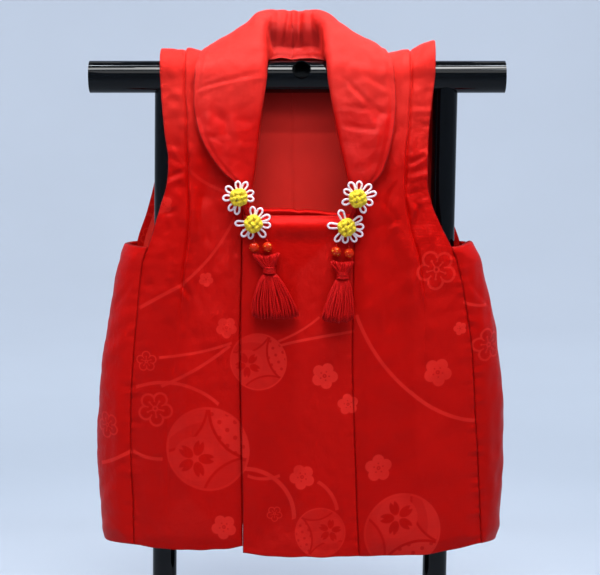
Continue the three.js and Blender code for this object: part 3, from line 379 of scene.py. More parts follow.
# u is x and v is z
COLLAR_CREASES = {
    "left": [
        (-101, 546, -28, 563, 1.5, 1.1, -2), (-34, 560, -27, 574, 1.4, 0.9, 0),
        (-82, 534, -60, 486, 5.0, 1.5, -3), (-88, 514, -76, 508, 1.6, 0.6, 0),
        (-84, 505, -70, 497, 1.6, 0.6, 0), (-92, 528, -76, 524, 1.8, 0.5, 0),
        (-62, 520, -44, 516, 2.4, 0.6, 1), (-60, 500, -40, 498, 2.0, 0.45, 0),
        (-78, 582, -48, 590, 3, 0.4, 1), (-72, 470, -56, 452, 2.5, 0.6, 2),
    ],
    "right": [
        (44, 556, 80, 522, 1.8, 1.7, 2), (58, 536, 74, 514, 2.0, 1.1, -1),
        (34, 532, 76, 524, 1.8, 1.1, -2), (38, 516, 78, 511, 2.2, 1.0, 2),
        (60, 562, 84, 546, 2.2, 0.9, 1),
        (66, 508, 78, 530, 2.8, 0.5, 1), (46, 575, 86, 566, 3.4, 0.6, 1),
        (58, 590, 76, 572, 3, 0.4, 1), (48, 500, 56, 462, 3.6, 0.5, -2),
        (72, 488, 64, 462, 3.4, 0.45, 2),
    ],
}
COLLAR_BACK_CREASES = {
    "left": [(-72, 578, -40, 594, 3, 0.9, 1), (-38, 572, -14, 579, 3, 0.7, 1)],
    "right": [(58, 575, 28, 594, 3, 0.9, -1), (26, 570, 2, 578, 3, 0.7, -1)],
}
# x, depth, width and slant of the gathers inside the standing back of the collar
STAND_GATHERS = [
    (-23, 1.2, 3.4, 0.05), (-12.5, 3.4, 2.8, 0.2), (-0.5, 4.2, 3.6, 0.03), (13, 1.2, 3.2, -0.02),
]
FACING = 10.0       # height of the plain facing under the gathers
# u is x and v the way
BAND_CREASES = [
    (-40, -132, -44, -170, 3, 0.3, 1), (-26, -130, -30, -160, 2.5, 0.35, 1),
    (-10, -131, -14, -158, 2.5, 0.3, 1), (24, -131, 20, -165, 2.5, 0.3, -1),
    (-6, -180, 2, -330, 9, 0.35, 6), (-36, -260, -30, -420, 7, 0.3, 4), (42, -250, 46, -330, 2.4, 0.5, 2),
]


# ---------- meshes ----------
def unit(vectors):
    return vectors / np.maximum(np.linalg.norm(vectors, axis=-1, keepdims=True), 1e-9)


def quads_of(index):
    """Quads between the neighbours in a grid of point numbers."""
    return np.stack([index[:-1, :-1], index[:-1, 1:], index[1:, 1:], index[1:, :-1]], -1).reshape(-1, 4)


def closed(index):
    """A grid of point numbers with its first row again after its last."""
    return np.concatenate([index, index[:1]])


def wall_faces(rows, columns):
    """Quads of a closed wall between an inner and an outer grid."""
    total = rows * columns
    index = np.arange(total).reshape(rows, columns)
    faces = [quads_of(index), quads_of(index + total)[:, ::-1]]
    for line in (index[0, ::-1], index[-1], index[:, 0], index[::-1, -1]):
        a, b = line[:-1], line[1:]
        faces.append(np.stack([b, a, a + total, b + total], -1))
    return np.concatenate(faces)


def make_mesh(name, points, faces, material, cloth=None):
    """A mesh of quads, with its points in mm. cloth, three numbers a point, is kept as an attribute."""
    points = np.asarray(points, float).reshape(-1, 3)
    a, b, c, d = (points[faces[:, k]] for k in range(4))
    if (a * np.cross(b, c)).sum() + (a * np.cross(c, d)).sum() < 0:     # inside out
        faces = faces[:, ::-1]
    mesh = bpy.data.meshes.new(name)
    mesh.vertices.add(len(points))
    mesh.vertices.foreach_set("co", (points * MM).astype(np.float32).ravel())
    mesh.loops.add(faces.size)
    mesh.loops.foreach_set("vertex_index", faces.astype(np.int32).ravel())
    mesh.polygons.add(len(faces))
    mesh.polygons.foreach_set("loop_start", np.arange(0, faces.size, 4, dtype=np.int32))
    mesh.polygons.foreach_set("use_smooth", np.ones(len(faces), bool))
    mesh.update(calc_edges=True)
    mesh.validate()
    if cloth is not None:
        held = mesh.attributes.new("cloth", "FLOAT_VECTOR", "POINT")
        held.data.foreach_set("vector", np.asarray(cloth, np.float32).ravel())
    mesh.materials.append(material)
    made = bpy.data.objects.new(name, mesh)
    bpy.context.scene.collection.objects.link(made)
    return made


def piece(made, slot, *nodes):
    """A finished piece rides on the part's one body and stands for its solids."""
    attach(made, "root")
    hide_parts(*nodes)
    return made


def wall(name, inner, outer, material, cloth):
    """A padded or plain cloth between the grids of its inner and its outer face."""
    rows, columns = inner.shape[:2]
    points = np.concatenate([inner.reshape(-1, 3), outer.reshape(-1, 3)])
    both = np.concatenate([cloth.reshape(-1, 3)] * 2)
    return make_mesh(name, points, wall_faces(rows, columns), material, both)


def edge_round(inside, radius=1.6):
    """How far each face draws in towards the middle of the wall near its edge."""
    t = 1 - np.clip(inside / radius, 0, 1)
    return 0.94 * radius * (1 - np.sqrt(np.clip(1 - t * t, 0, 1)))


NEAR = np.array([0, 0.25, 0.7, 1.3, 2.2, 3.4])     # offsets of the columns next to an edge


def spaced(start, end, count, near=NEAR):
    """count places from start to end, close together at both, along a last axis."""
    start, end = np.asarray(start, float)[..., None], np.asarray(end, float)[..., None]
    middle = np.linspace(0, 1, count - 2 * len(near) + 2)[1:-1]
    low, high = start + near[-1], end - near[-1]
    return np.concatenate([start + near, low + (high - low) * middle, end - near[::-1]], -1)


def joined(parts):
    """One set of points and quads from several."""
    points, faces, start = [], [], 0
    for part_points, part_faces in parts:
        points.append(part_points)
        faces.append(part_faces + start)
        start += len(part_points)
    return np.concatenate(points), np.concatenate(faces)


def tube(path, radius, sides=8, ring=False):
    """A round cord along path: its points and quads. The ends close to a point, unless it is a ring."""
    path = np.asarray(path, float)
    radius = np.broadcast_to(np.asarray(radius, float), len(path)).copy()
    if ring:
        tangent = np.roll(path, -1, 0) - np.roll(path, 1, 0)
    else:
        path = np.concatenate([path[:1], path, path[-1:]])
        radius = np.concatenate([[0.02], radius, [0.02]])
        tangent = np.gradient(path, axis=0)
        tangent[0], tangent[-1] = tangent[1], tangent[-2]
    tangent = unit(tangent)
    side = np.cross(tangent, [0, 1.0, 0])
    weak = np.linalg.norm(side, axis=1) < 0.15
    side[weak] = np.cross(tangent[weak], [1.0, 0, 0])
    side = unit(side)
    up = np.cross(side, tangent)
    angle = np.linspace(0, 2 * np.pi, sides, endpoint=False)
    turns = side[:, None] * np.cos(angle)[None, :, None] + up[:, None] * np.sin(angle)[None, :, None]
    points = path[:, None] + turns * radius[:, None, None]
    index = np.arange(len(path) * sides).reshape(-1, sides)
    quads = quads_of(closed((closed(index) if ring else index).T).T)
    return points.reshape(-1, 3), quads


def spline(knots, steps):
    """Points along a smooth curve through knots."""
    knots = np.asarray(knots, float)
    ext = np.concatenate([2 * knots[:1] - knots[1:2], knots, 2 * knots[-1:] - knots[-2:-1]])
    t = np.linspace(0, 1, steps, endpoint=False)[:, None]
    out = []
    for k in range(len(knots) - 1):
        p0, p1, p2, p3 = ext[k:k + 4]
        out.append(0.5 * (2 * p1 + (p2 - p0) * t + (2 * p0 - 5 * p1 + 4 * p2 - p3) * t * t
                          + (3 * p1 - 3 * p2 + p3 - p0) * t ** 3))
    return np.concatenate(out + [knots[-1:]])


# ---------- materials written as arithmetic ----------
def maths(operation, swapped=False):
    """A method of Value that adds one math node."""
    def method(self, *others):
        return self.net.math(operation, *((*others, self) if swapped else (self, *others)))
    return method


class Value:
    """A number or a vector on its way through a material's nodes."""

    def __init__(self, net, socket):
        self.net, self.socket = net, socket

    __add__ = __radd__ = maths("ADD")
    __sub__, __rsub__ = maths("SUBTRACT"), maths("SUBTRACT", swapped=True)
    __mul__ = __rmul__ = maths("MULTIPLY")
    max, min, abs = maths("MAXIMUM"), maths("MINIMUM"), maths("ABSOLUTE")
    sin, cos, sqrt = maths("SINE"), maths("COSINE"), maths("SQRT")


class Net:
    """A material with one Principled shader."""

    def __init__(self, name, **fixed):
        self.material = bpy.data.materials.new(name)
        self.material.use_nodes = True
        self.tree = self.material.node_tree
        self.tree.nodes.clear()
        output = self.add("ShaderNodeOutputMaterial")
        self.shader = self.add("ShaderNodeBsdfPrincipled")
        self.tree.links.new(self.shader.outputs[0], output.inputs[0])
        for socket, value in fixed.items():
            self.set(socket.replace("_", " "), value)

    def add(self, kind, **options):
        node = self.tree.nodes.new(kind)
        for key, value in options.items():
            setattr(node, key, value)
        return node

    def put(self, socket, value):
        if isinstance(value, Value):
            self.tree.links.new(value.socket, socket)
        else:
            socket.default_value = value

    def set(self, name, value):
        self.put(self.shader.inputs[name], value)

    def math(self, operation, *values):
        node = self.add("ShaderNodeMath", operation=operation)
        for socket, value in zip(node.inputs, values):
            self.put(socket, value)
        return Value(self, node.outputs[0])

    def vector(self, operation, *values, scale=None):
        node = self.add("ShaderNodeVectorMath", operation=operation)
        for socket, value in zip(node.inputs, values):
            self.put(socket, value)
        if scale is not None:
            self.put(node.inputs["Scale"], scale)
        which = "Value" if operation in ("LENGTH", "DISTANCE", "DOT_PRODUCT") else "Vector"
        return Value(self, node.outputs[which])

    def step(self, value, start, end, low=0.0, high=1.0):
        """low before start, high after end, and smooth between them."""
        node = self.add("ShaderNodeMapRange", interpolation_type="SMOOTHSTEP")
        for socket, entry in zip(node.inputs, (value, start, end, low, high)):
            self.put(socket, entry)
        return Value(self, node.outputs[0])

    def split(self, value):
        node = self.add("ShaderNodeSeparateXYZ")
        self.put(node.inputs[0], value)
        return [Value(self, node.outputs[k]) for k in range(3)]

    def choose(self, share, first, second, kind="RGBA", **options):
        node = self.add("ShaderNodeMix", data_type=kind, **options)
        live = [s for s in node.inputs if s.enabled]
        for socket, entry in zip(live, (share, first, second)):
            self.put(socket, entry)
        return Value(self, next(s for s in node.outputs if s.enabled))

    def attribute(self, name):
        return Value(self, self.add("ShaderNodeAttribute", attribute_name=name).outputs["Vector"])

    def place(self):
        return Value(self, self.add("ShaderNodeTexCoord").outputs["Object"])

    def texture(self, kind, entries, **options):
        node = self.add(kind, **options)
        for name, entry in entries.items():
            self.put(node.inputs[name], entry)
        return Value(self, node.outputs["Fac"])

    def noise(self, vector, scale, detail=2.0):
        return self.texture("ShaderNodeTexNoise", {"Vector": vector, "Scale": scale, "Detail": detail})

    def wave(self, vector, scale, direction, distort):
        return self.texture("ShaderNodeTexWave", {"Vector": vector, "Scale": scale, "Distortion": distort},
                            bands_direction=direction)

    def finish(self, colour, rough, height, strength, distance):
        """Sets the colour, the roughness and the bump, and gives the material."""
        self.set("Base Color", colour)
        self.set("Roughness", rough)
        node = self.add("ShaderNodeBump")
        for name, entry in (("Strength", strength), ("Distance", distance), ("Height", height)):
            self.put(node.inputs[name], entry)
        self.set("Normal", Value(self, node.outputs[0]))
        return self.material


# The woven figures, in cloth mm: u across and v down from the top of the tube's front.
CLOTH_REPEAT = (430.0, 470.0)
SOLID_BLOSSOMS = [   # u, v, radius, turn
    (-69, -233, 10, 0.3), (23, -277, 12.5, 0.1), (45, -304, 10, 0.8), (2, -372, 12, 0.5),
    (130, -276, 13.5, 0.2), (74, -365, 13, 0.9), (-88, -188, 7, 0.2), (-72, -422, 12, 0.4),
    (151, -235, 6.5, 0.6), (-52, -60, 12, 0.5), (118, -62, 10, 0.1), (-128, -118, 9, 0.7),
]
LINED_BLOSSOMS = [
    (-137, -311, 17, 0.2), (178, -252, 16, 0.7), (128, -179, 19, 0.4), (-145, -266, 10, 0.9),
    (-24, -407, 7.5, 0.3), (66, -40, 15, 0.1), (-184, -330, 13, 0.5),
]
TEMARI = [
    (-39, -264, 27, 0.4), (-87, -348, 40, 0.0), (97, -427, 37, 1.9), (19, -425, 24, 3.6),
]
RIBBONS = [   # three points of an arc and a width
    (-150, -215, -130, -204, -110, -193, 3.4), (-110, -192, -82, -164, -62, -132, 2.8),
    (-132, -262, -98, -257, -66, -248, 2.6), (-130, -289, -97, -272, -67, -251, 3.0),
    (-155, -291, -114, -287, -76, -306, 3.2), (-158, -353, -145, -358, -132, -359, 3.4),
    (-49, -365, -19, -378, -7, -421, 4.0), (19, -378, 29, -388, 35, -404, 3.4),
    (-48, -372, -34, -374, -20, -371, 3.0), (53, -221, 75, -263, 107, -297, 3.4),
    (105, -295, 133, -314, 167, -324, 3.6), (156, -211, 166, -214, 178, -214, 2.8),
    (-19, -244, 0, -235, 17, -223, 2.2), (-17, -248, 16, -241, 49, -236, 2.6),
    (-191, -368, -176, -362, -161, -353, 3.4), (-120, -60, -96, -92, -60, -108, 3.0),
    (30, -12, 52, -40, 60, -88, 2.8),
]


def arc_through(u0, v0, u1, v1, u2, v2):
    """Centre and radius of the circle through three points."""
    a = np.array([[u1 - u0, v1 - v0], [u2 - u0, v2 - v0]], float)
    if abs(np.linalg.det(a)) < 1:
        a[0, 1] += 0.5
    b = 0.5 * np.array([a[0] @ a[0], a[1] @ a[1]])
    centre = np.linalg.solve(a, b)
    return centre + (u0, v0), float(np.hypot(*centre))


def length(x, y):
    return (x * x + y * y).sqrt()


def nearest(net, at, figures):
    """Reach and angle in the nearest figure, with its radius as 1."""
    best = lowest = None     # a place in it, with a thousandth of its turn in z, and the distance squared
    for u, v, radius, turn in figures:
        moved = net.vector("SUBTRACT", at, (u, v, -turn * 0.001 * radius))
        own = net.vector("SCALE", moved, scale=1 / radius)
        far = net.vector("DOT_PRODUCT", own, own)
        if best is None:
            best, lowest = own, far
        else:
            best = net.choose(net.math("LESS_THAN", far, lowest), best, own, "VECTOR")
            lowest = lowest.min(far)
    x, y, turn = net.split(best)
    return length(x, y), net.math("ARCTAN2", y, x) + turn * 1000


def petal_places(net, reach, angle):
    """A place folded into one petal of five: along it and across it."""
    fifth = 2 * math.pi / 5
    inside = net.math("WRAP", angle, fifth / 2, -fifth / 2)
    return reach * inside.cos(), reach * inside.sin()


def petal_shape(along, across, middle, radius):
    """How far a place lies outside a petal's round."""
    return length(along - middle, across) - radius


def solid_blossom(net, at):
    reach, angle = nearest(net, at, SOLID_BLOSSOMS)
    along, across = petal_places(net, reach, angle)
    petals = petal_shape(along, across, 0.56, 0.44).min(reach - 0.5)
    fill = net.step(petals, 0.04, -0.04)
    dots = net.step(petal_shape(along, across, 0.34, 0.06), 0.03, -0.03)
    eye = net.step((reach - 0.1).abs(), 0.07, 0.03)
    return fill - fill * dots.max(eye) * 0.75


def lined_blossom(net, at):
    reach, angle = nearest(net, at, LINED_BLOSSOMS)
    along, across = petal_places(net, reach, angle)
    petals = petal_shape(along, across, 0.58, 0.42).min(reach - 0.5)
    line = net.step((petals + 0.05).abs(), 0.085, 0.045)
    stamen = net.step(across.abs(), 0.05, 0.02) * net.step(along, 0.14, 0.2) * net.step(along, 0.46, 0.4)
    tip = net.step(petal_shape(along, across, 0.47, 0.06), 0.03, -0.02)
    eye = net.step((reach - 0.12).abs(), 0.07, 0.03)
    return line.max(stamen).max(tip).max(eye)


def temari(net, at):
    """A thread ball: a disc parted by curved bands, with a blossom, dots and stripes in its fields."""
    reach, angle = nearest(net, at, TEMARI)
    ball = net.step(reach, 1.0, 0.97)
    x, y = reach * angle.cos(), reach * angle.sin()

    def band(centre_x, centre_y, radius, half):
        off = length(x - centre_x, y - centre_y) - radius
        return net.step(off, 0.0, -0.03), net.step(off.abs(), half, half - 0.03)
    dotted, band_a = band(1.25, 0.95, 1.22, 0.05)
    striped, band_b = band(-1.2, 1.1, 1.2, 0.045)
    plain, band_c = band(1.0, -1.35, 1.15, 0.045)
    dots = net.step((x * 17).sin() * (y * 17).sin(), 0.55, 0.75)
    stripes = net.step((y * 10 + x * x * 5).sin(), 0.0, 0.3)
    tone = net.choose(dotted, 0.6, 0.8 - dots * 0.6, "FLOAT")
    tone = net.choose(striped * (1 - dotted), tone, 0.4 + stripes * 0.3, "FLOAT")
    tone = net.choose(plain * (1 - dotted), tone, 0.45, "FLOAT")
    tone = tone * (1 - band_a) * (1 - band_b) * (1 - band_c)
    bloom_x, bloom_y = x + 0.3, y + 0.24
    bloom_reach = length(bloom_x, bloom_y)
    along, across = petal_places(net, bloom_reach, net.math("ARCTAN2", bloom_y, bloom_x))
    petals = net.step(petal_shape(along, across * 1.55, 0.27, 0.19), 0.02, -0.02)
    petals = petals * net.step(across.abs() - (along - 0.36) * 0.5, -0.01, 0.02)
    in_bloom = net.step(bloom_reach, 0.54, 0.51)
    tone = net.choose(in_bloom, tone, 0.68 - petals * 0.68, "FLOAT")
    rim = net.step((reach - 0.965).abs(), 0.04, 0.02)
    return (tone * ball).max(rim * 0.7), ball


def ribbons(net, at):
    total = None
    for u0, v0, u1, v1, u2, v2, width in RIBBONS:
        centre, radius = arc_through(u0, v0, u1, v1, u2, v2)
        off = (net.vector("DISTANCE", at, (*centre, 0)) - radius).abs()
        half = 0.5 * math.hypot(u2 - u0, v2 - v0) + 1
        near = net.vector("DISTANCE", at, (u1, v1, 0))
        line = net.step(off, width / 2 + 0.35, width / 2 - 0.35) * net.step(near, half + 1, half)
        total = line if total is None else total.max(line)
    return total


GROUND_DEEP, GROUND_LIT = (0.48, 0.0020, 0.0010, 1), (0.56, 0.0030, 0.0015, 1)
# PAINTED_SHEEN_RED is a painted sheen: the paler red that stands in for light from above
PAINTED_SHEEN_RED, FIGURE = (0.74, 0.026, 0.018, 1), (0.84, 0.026, 0.018, 1)
SEAM_SHADE, HIDDEN_SHADE = (0.26, 0.03, 0.03, 1), (0.10, 0.001, 0.001, 1)


def damask(name, shift=(0.0, 0.0), strength=1.0, gloss=0.12, fade=(25.0, 33.0, 110.0)):
    """Red satin with woven figures that catch the light.

    shift moves the figures over the cloth. fade is the way where the painted sheen is strongest, how far it
    stays so on either side, and how far away the cloth is deep again.
    """
    net = Net(name, Specular_IOR_Level=gloss, Specular_Tint=(1.0, 0.45, 0.4, 1.0))
    cloth = net.attribute("cloth")
    u, v, inside = net.split(cloth)
    wide, high = CLOTH_REPEAT
    flat = net.add("ShaderNodeCombineXYZ")
    net.put(flat.inputs[0], net.math("WRAP", u + shift[0], wide / 2, -wide / 2))
    net.put(flat.inputs[1], net.math("WRAP", v + shift[1], 0.0, -high))
    at = Value(net, flat.outputs[0])
    ball, in_ball = temari(net, at)
    others = solid_blossom(net, at).max(lined_blossom(net, at) * 0.75).max(ribbons(net, at) * 0.8)
    figure = others * (1 - in_ball) + ball     # 1 where the weave is palest
    patch = net.noise(cloth, 0.012)
    from_top = (v - fade[0]).abs()
    figure = figure * net.step(patch, 0.3, 0.62, 0.55, 1.0) * net.step(from_top, 85.0, 195.0, 0.45, 1.0)
    slub = net.noise(net.vector("MULTIPLY", cloth, (0.05, 0.9, 0.0)), 1.0)
    worn = net.noise(cloth, 0.03, 3.0)
    share = figure * (0.74 * strength) + (slub - 0.5) * 0.14
    ground = net.choose(worn, GROUND_DEEP, GROUND_LIT)
    # painted sheen: paler red about the way fade[0], for the light that falls on the upper cloth
    painted_sheen = net.step(from_top, fade[2], fade[1]) * 0.75
    ground = net.choose(painted_sheen, ground, PAINTED_SHEEN_RED)
    colour = net.choose(share, ground, FIGURE)
    # painted shade: darker in the seams, and darkest where inside is below 0, in the collar's shaded gathers
    seam = net.step(inside, 0.2, 1.6, 0.55, 1.0) * net.step(inside, -2.0, 0.2, 0.1, 1.0)
    colour = net.choose(1.0 - seam, colour, SEAM_SHADE, blend_type="MULTIPLY")
    dull = net.step(inside, -0.4, -1.6) * 0.45
    rough = 0.42 - figure * (0.08 * strength) + (slub - 0.5) * 0.12 + dull
    weave = net.wave(net.vector("SCALE", cloth, scale=1.0), 0.9, "DIAGONAL", 0.6)
    crinkle = net.noise(cloth, 0.16, 3.0)
    return net.finish(colour, rough, weave * 0.16 + crinkle, 0.5, 0.0013)


def lining_material():
    net = Net("red_lining", Specular_IOR_Level=0.15, Specular_Tint=(1.0, 0.5, 0.4, 1.0), Sheen_Weight=0.04,
              Sheen_Roughness=0.5, Sheen_Tint=(1, 0.4, 0.3, 1))
    cloth = net.attribute("cloth")
    tone = net.noise(cloth, 0.05, 3.0)
    thread = net.wave(cloth, 1.1, "X", 0.5) * net.wave(cloth, 1.1, "Y", 0.5)
    hidden = net.step(net.split(cloth)[1], 94.0, 64.0) * 0.6     # in the tube's shade
    shown = net.choose(tone * 0.7 + thread * 0.3, (0.92, 0.030, 0.021, 1), (1.0, 0.038, 0.027, 1))
    colour = net.choose(hidden, shown, HIDDEN_SHADE)
    return net.finish(colour, 0.62 + (tone - 0.5) * 0.1, thread * 0.5 + tone, 0.3, 0.0005)


def thread_material(name, colour, lit, size, rough=0.62, sheen=0.1, gloss=0.3, rim=None):
    """Cord or silk of twisted threads size mm across. lit is a painted highlight on the twist's crests, with
    random blots of tone; rim is a painted pink shade where the cord turns away.
    """
    net = Net(name, Specular_IOR_Level=gloss, Sheen_Weight=sheen, Sheen_Roughness=0.4)
    place = net.place()
    twist = net.wave(place, 1 / (size * MM) / 6.28, "DIAGONAL", 1.5)
    blot = net.noise(place, 400.0)
    # painted highlight: the twist's crests take the lit colour, with random blots of tone
    shown = net.choose(twist * 0.6 + blot * 0.4, colour, lit)
    # painted shade: pink where the cord turns away from the view
    if rim:
        edge = net.add("ShaderNodeLayerWeight")
        edge.inputs[0].default_value = 0.35
        facing = Value(net, edge.outputs["Facing"])
        shown = net.choose(net.step(facing, 0.35, 0.9), shown, rim)
    return net.finish(shown, rough + (blot - 0.5) * 0.2, twist, 0.5, 0.0003)


def bead_material():
    net = Net("red_glass", IOR=1.45, Transmission_Weight=0.1, Coat_Weight=0.2, Coat_Roughness=0.04,
              Specular_IOR_Level=0.2, Specular_Tint=(1.0, 0.4, 0.2, 1.0))
    place = net.place()
    # painted glints: orange flecks and faint bands, partly the glass's own flecks and partly glints of light
    fleck = net.step(net.noise(place, 480.0, 3.0), 0.62, 0.67)
    band = net.step(net.wave(net.vector("MULTIPLY", place, (60.0, 60.0, 420.0)), 1.0, "Z", 2.0), 0.75, 0.95)
    flecks_and_glints = fleck.max(band * 0.16)
    colour = net.choose(flecks_and_glints, (0.58, 0.003, 0.001, 1), (1.0, 0.40, 0.04, 1))
    return net.finish(colour, 0.08 + flecks_and_glints * 0.25, fleck, 0.3, 0.0003)


def black_paint():
    net = Net("black_steel", Coat_Weight=0.4, Coat_Roughness=0.015, Coat_Tint=(0.8, 0.92, 1.0, 1),
              Specular_IOR_Level=0.01)
    place = net.place()
    dust = net.noise(place, 260.0, 4.0)
    smear = net.noise(net.vector("MULTIPLY", place, (9.0, 60.0, 60.0)), 1.0, 3.0)
    colour = net.choose(smear, (0.0004, 0.0006, 0.0009, 1), (0.0012, 0.0016, 0.0022, 1))
    return net.finish(colour, 0.16 + smear * 0.12 + dust * 0.05, net.noise(place, 900.0), 0.06, 0.0002)


RED = damask("red_damask")
RED_COLLAR = damask("red_damask_collar", (118.0, -64.0), 0.35, 0.24, (80.0, 88.0, 122.0))
LINING = lining_material()
WHITE = thread_material("white_cord", (0.86, 0.62, 0.68, 1), (1.0, 0.90, 0.91, 1), 0.7,
                        rim=(0.72, 0.10, 0.22, 1))
YELLOW = thread_material("yellow_cord", (0.60, 0.40, 0.006, 1), (1.0, 0.74, 0.034, 1), 0.6)
SILK = thread_material("dark_red_silk", (0.34, 0.001, 0.0015, 1), (0.64, 0.006, 0.005, 1), 0.45,
                       rough=0.5, sheen=0.0, gloss=0.08)
GLASS = bead_material()
BLACK = black_paint()

# ---------- the padded pieces ----------
def hem_bend(z, hem):
    """Heights with the flat hem at BACK_HEM bent to the hem's own height."""
    return z + (hem - BACK_HEM) * smooth(BACK_HEM + HEM_BLEND, BACK_HEM, z)


def hem_wave(x, seed, from_hem):
    """How far the hem wanders up and down."""
    return 0.5 * ripple(x, 0 * x, 26, seed) * np.exp(-from_hem / 9)


def centre_edge(side, way):
    """A panel's inner and outer edge; the inner ones meet in the centre-back seam."""
    inner_x, _, outer_x = edges_at(side, way)
    return inner_x - SEAM_MEET * (way >= NECK[side][-1][0]), outer_x


BESIDE_TUCK = np.array([0, 0.35, 0.9, 1.6, 2.6, 4.2])     # columns on the fold, and on its other side
BEYOND_TUCK = np.array([0, 0.35, 0.8, 1.4, 2.2, 3.4])


def make_body(side):
    sign = SIGN[side]
    front = -np.linspace(0, 1, 190)[::-1] * (DROP - NEAR[-1])
    over = np.linspace(0, ARC, 30)[1:-1]
    back = ARC + np.linspace(0, 1, 110) * (DROP - NEAR[-1])
    way = np.concatenate([-DROP + NEAR[:-1], front, over, back, ARC + DROP - NEAR[-2::-1]])
    inner_x, outer_x = centre_edge(side, way)
    tuck = edges_at(side, way)[1]
    low, high = spaced(inner_x, tuck, 34), spaced(tuck, outer_x, 22)
    low[:, -6:] = tuck[:, None] - BESIDE_TUCK[::-1]
    high[:, :6] = tuck[:, None] + BEYOND_TUCK
    x = np.concatenate([low, high[:, 1:]], 1)
    ways = way[:, None] + 0 * x
    from_hem = np.minimum(ways + DROP, ARC + DROP - ways)
    across = np.minimum(x - inner_x[:, None], outer_x[:, None] - x)
    inside = np.minimum(across, from_hem)
    bent = hem_bend(height_at(ways), OUTLINE[side]["hem"](x))
    hung = np.where(ways < 0, front_way(bent), ways)
    hung = hung + hem_wave(x, 51 + SEED[side], from_hem) * np.where(ways < 0, 1, -1)
    base, draw = base_lift(side, x, ways), edge_round(inside)
    thick = panel_wall(side, x, ways, inside) + panel_relief(side, x, ways, inside)
    inner = drape(sign * x, hung, base + draw)
    outer = drape(sign * x, hung, base + np.maximum(thick, 2.2) - draw)
    made = wall(f"coat_body_{side}", inner, outer, RED, np.stack([sign * x, hung, inside], -1))
    return piece(made, "red_damask", f"body_{side}")


def make_lining(side):
    sign, top = SIGN[side], 40.6
    way = np.concatenate([np.linspace(top, ARC, 8)[:-1], ARC + np.linspace(0, DROP - 9, 90)])
    inner_x, outer_x = centre_edge(side, way)
    x = spaced(inner_x, outer_x - LINING_MARGIN, 40, np.array([0, 0.8, 2.0, 4.0]))
    ways = way[:, None] + 0 * x
    beside = x - inner_x[:, None]
    lift = neck_lift(side, x, ways)
    soft = 0.14 * smooth(0, 14, ways - 40) * ripple(sign * x, ways, 60, 61 + SEED[side])
    seam_dip = 0.5 * np.exp(-(beside / 1.2) ** 2)
    outer = drape(sign * x, ways, lift + LINING_THICK)
    inner = drape(sign * x, ways, np.maximum(lift + 0.2 + soft + seam_dip, 0.1))
    made = wall(f"coat_back_lining_{side}", inner, outer, LINING, np.stack([sign * x, ways, beside], -1))
    return piece(made, "red_lining", f"back_lining_{side}")


def gusset_plan(side, z, steps):
    """Points and outward normals of the gusset's plan at height z."""
    line = OUTLINE[side]
    x_front, x_back = line["outer"](z) - 2 * SEAM_MEET, line["back"](z) - 2 * SEAM_MEET
    start = drape(x_front, front_way(z), 0)
    end = drape(x_back, back_way(z), LINING_INSET)
    reach = line["reach"](z) - WALL_EDGE - WALL_PUFF
    control = (8 * reach - x_front - x_back) / 6
    depth = end[1] - start[1]
    p = np.array([[x_front, start[1]], [control - 2, start[1] + 0.2 * depth],
                  [control + 2, end[1] - 0.2 * depth], [x_back, end[1]]])
    t = steps[:, None]
    at = (1 - t) ** 3 * p[0] + 3 * (1 - t) ** 2 * t * p[1] + 3 * (1 - t) * t * t * p[2] + t ** 3 * p[3]
    slope = 3 * ((1 - t) ** 2 * (p[1] - p[0]) + 2 * (1 - t) * t * (p[2] - p[1]) + t * t * (p[3] - p[2]))
    slope[0], slope[-1] = (1, 0), (-1, 0)
    slope = unit(slope)
    for blend, heading in ((smooth(0.06, 0.0, steps), (1, 0)), (smooth(0.94, 1.0, steps), (-1, 0))):
        slope = slope * (1 - blend[:, None]) + np.array(heading) * blend[:, None]
    slope = unit(slope)
    return at, np.stack([slope[:, 1], -slope[:, 0]], -1)


GUSSET_TOP = 401.0
CORNER_RISE = {"left": 1.0, "right": 3.5}     # how far a gusset's top stands up at its middle


def make_gusset(side):
    sign, seed = SIGN[side], SEED[side]
    heights = spaced(BACK_HEM, GUSSET_TOP, 110, np.array([0, 0.4, 1.0, 1.8, 2.8, 4.2]))
    steps = np.unique(np.concatenate([np.linspace(0, 1, 54), [0.004, 0.01, 0.02, 0.98, 0.99, 0.996]]))
    hem_front = OUTLINE[side]["hem"](OUTLINE[side]["outer"](BACK_HEM))
    hem = hem_front + (BACK_HEM - hem_front) * smooth(0, 0.5, steps)
    corner = np.exp(-((steps - 0.42) / 0.22) ** 2)
    inner, outer, cloth = [], [], []
    for level in heights:
        at, normal = gusset_plan(side, level, steps)
        run = np.concatenate([[0], np.cumsum(np.linalg.norm(np.diff(at, axis=0), axis=1))])
        up = level + 0 * run
        inside = np.minimum(np.minimum(run, run[-1] - run), min(level - BACK_HEM, GUSSET_TOP - level))
        z = hem_bend(level, hem) + CORNER_RISE[side] * corner * smooth(GUSSET_TOP - 40, GUSSET_TOP, level)
        at = at + np.array([1, 0]) * (corner * 2.5 * smooth(BACK_HEM + 45, BACK_HEM, level))[:, None]
        thick = WALL_EDGE + WALL_PUFF * smooth(0, SOFT_EDGE, inside) + 1.2 * smooth(30, 0, GUSSET_TOP - level)
        thick += waves(run, up, inside, 0.6, 44, seed + 71) + waves(run, up, inside, 0.25, 16, seed + 76)
        thick += creases(run, up, GUSSET_CREASES) * smooth(1, 8, inside)
        thick += 0.7 * puckers(up, run, 9, 5, seed + 81) + 0.35 * puckers(up, run[-1] - run, 10, 4, seed + 85)
        draw = edge_round(inside, 1.9)
        for grid, off in ((inner, draw), (outer, np.maximum(thick, 2.6) - draw)):
            plan = at + normal * off[:, None]
            grid.append(np.stack([sign * plan[:, 0], plan[:, 1], z], -1))
        cloth.append(np.stack([sign * (at[0, 0] + run), front_way(z), inside], -1))
    made = wall(f"coat_gusset_{side}", np.array(inner), np.array(outer), RED, np.array(cloth))
    return piece(made, "red_damask", f"side_gusset_{side}")


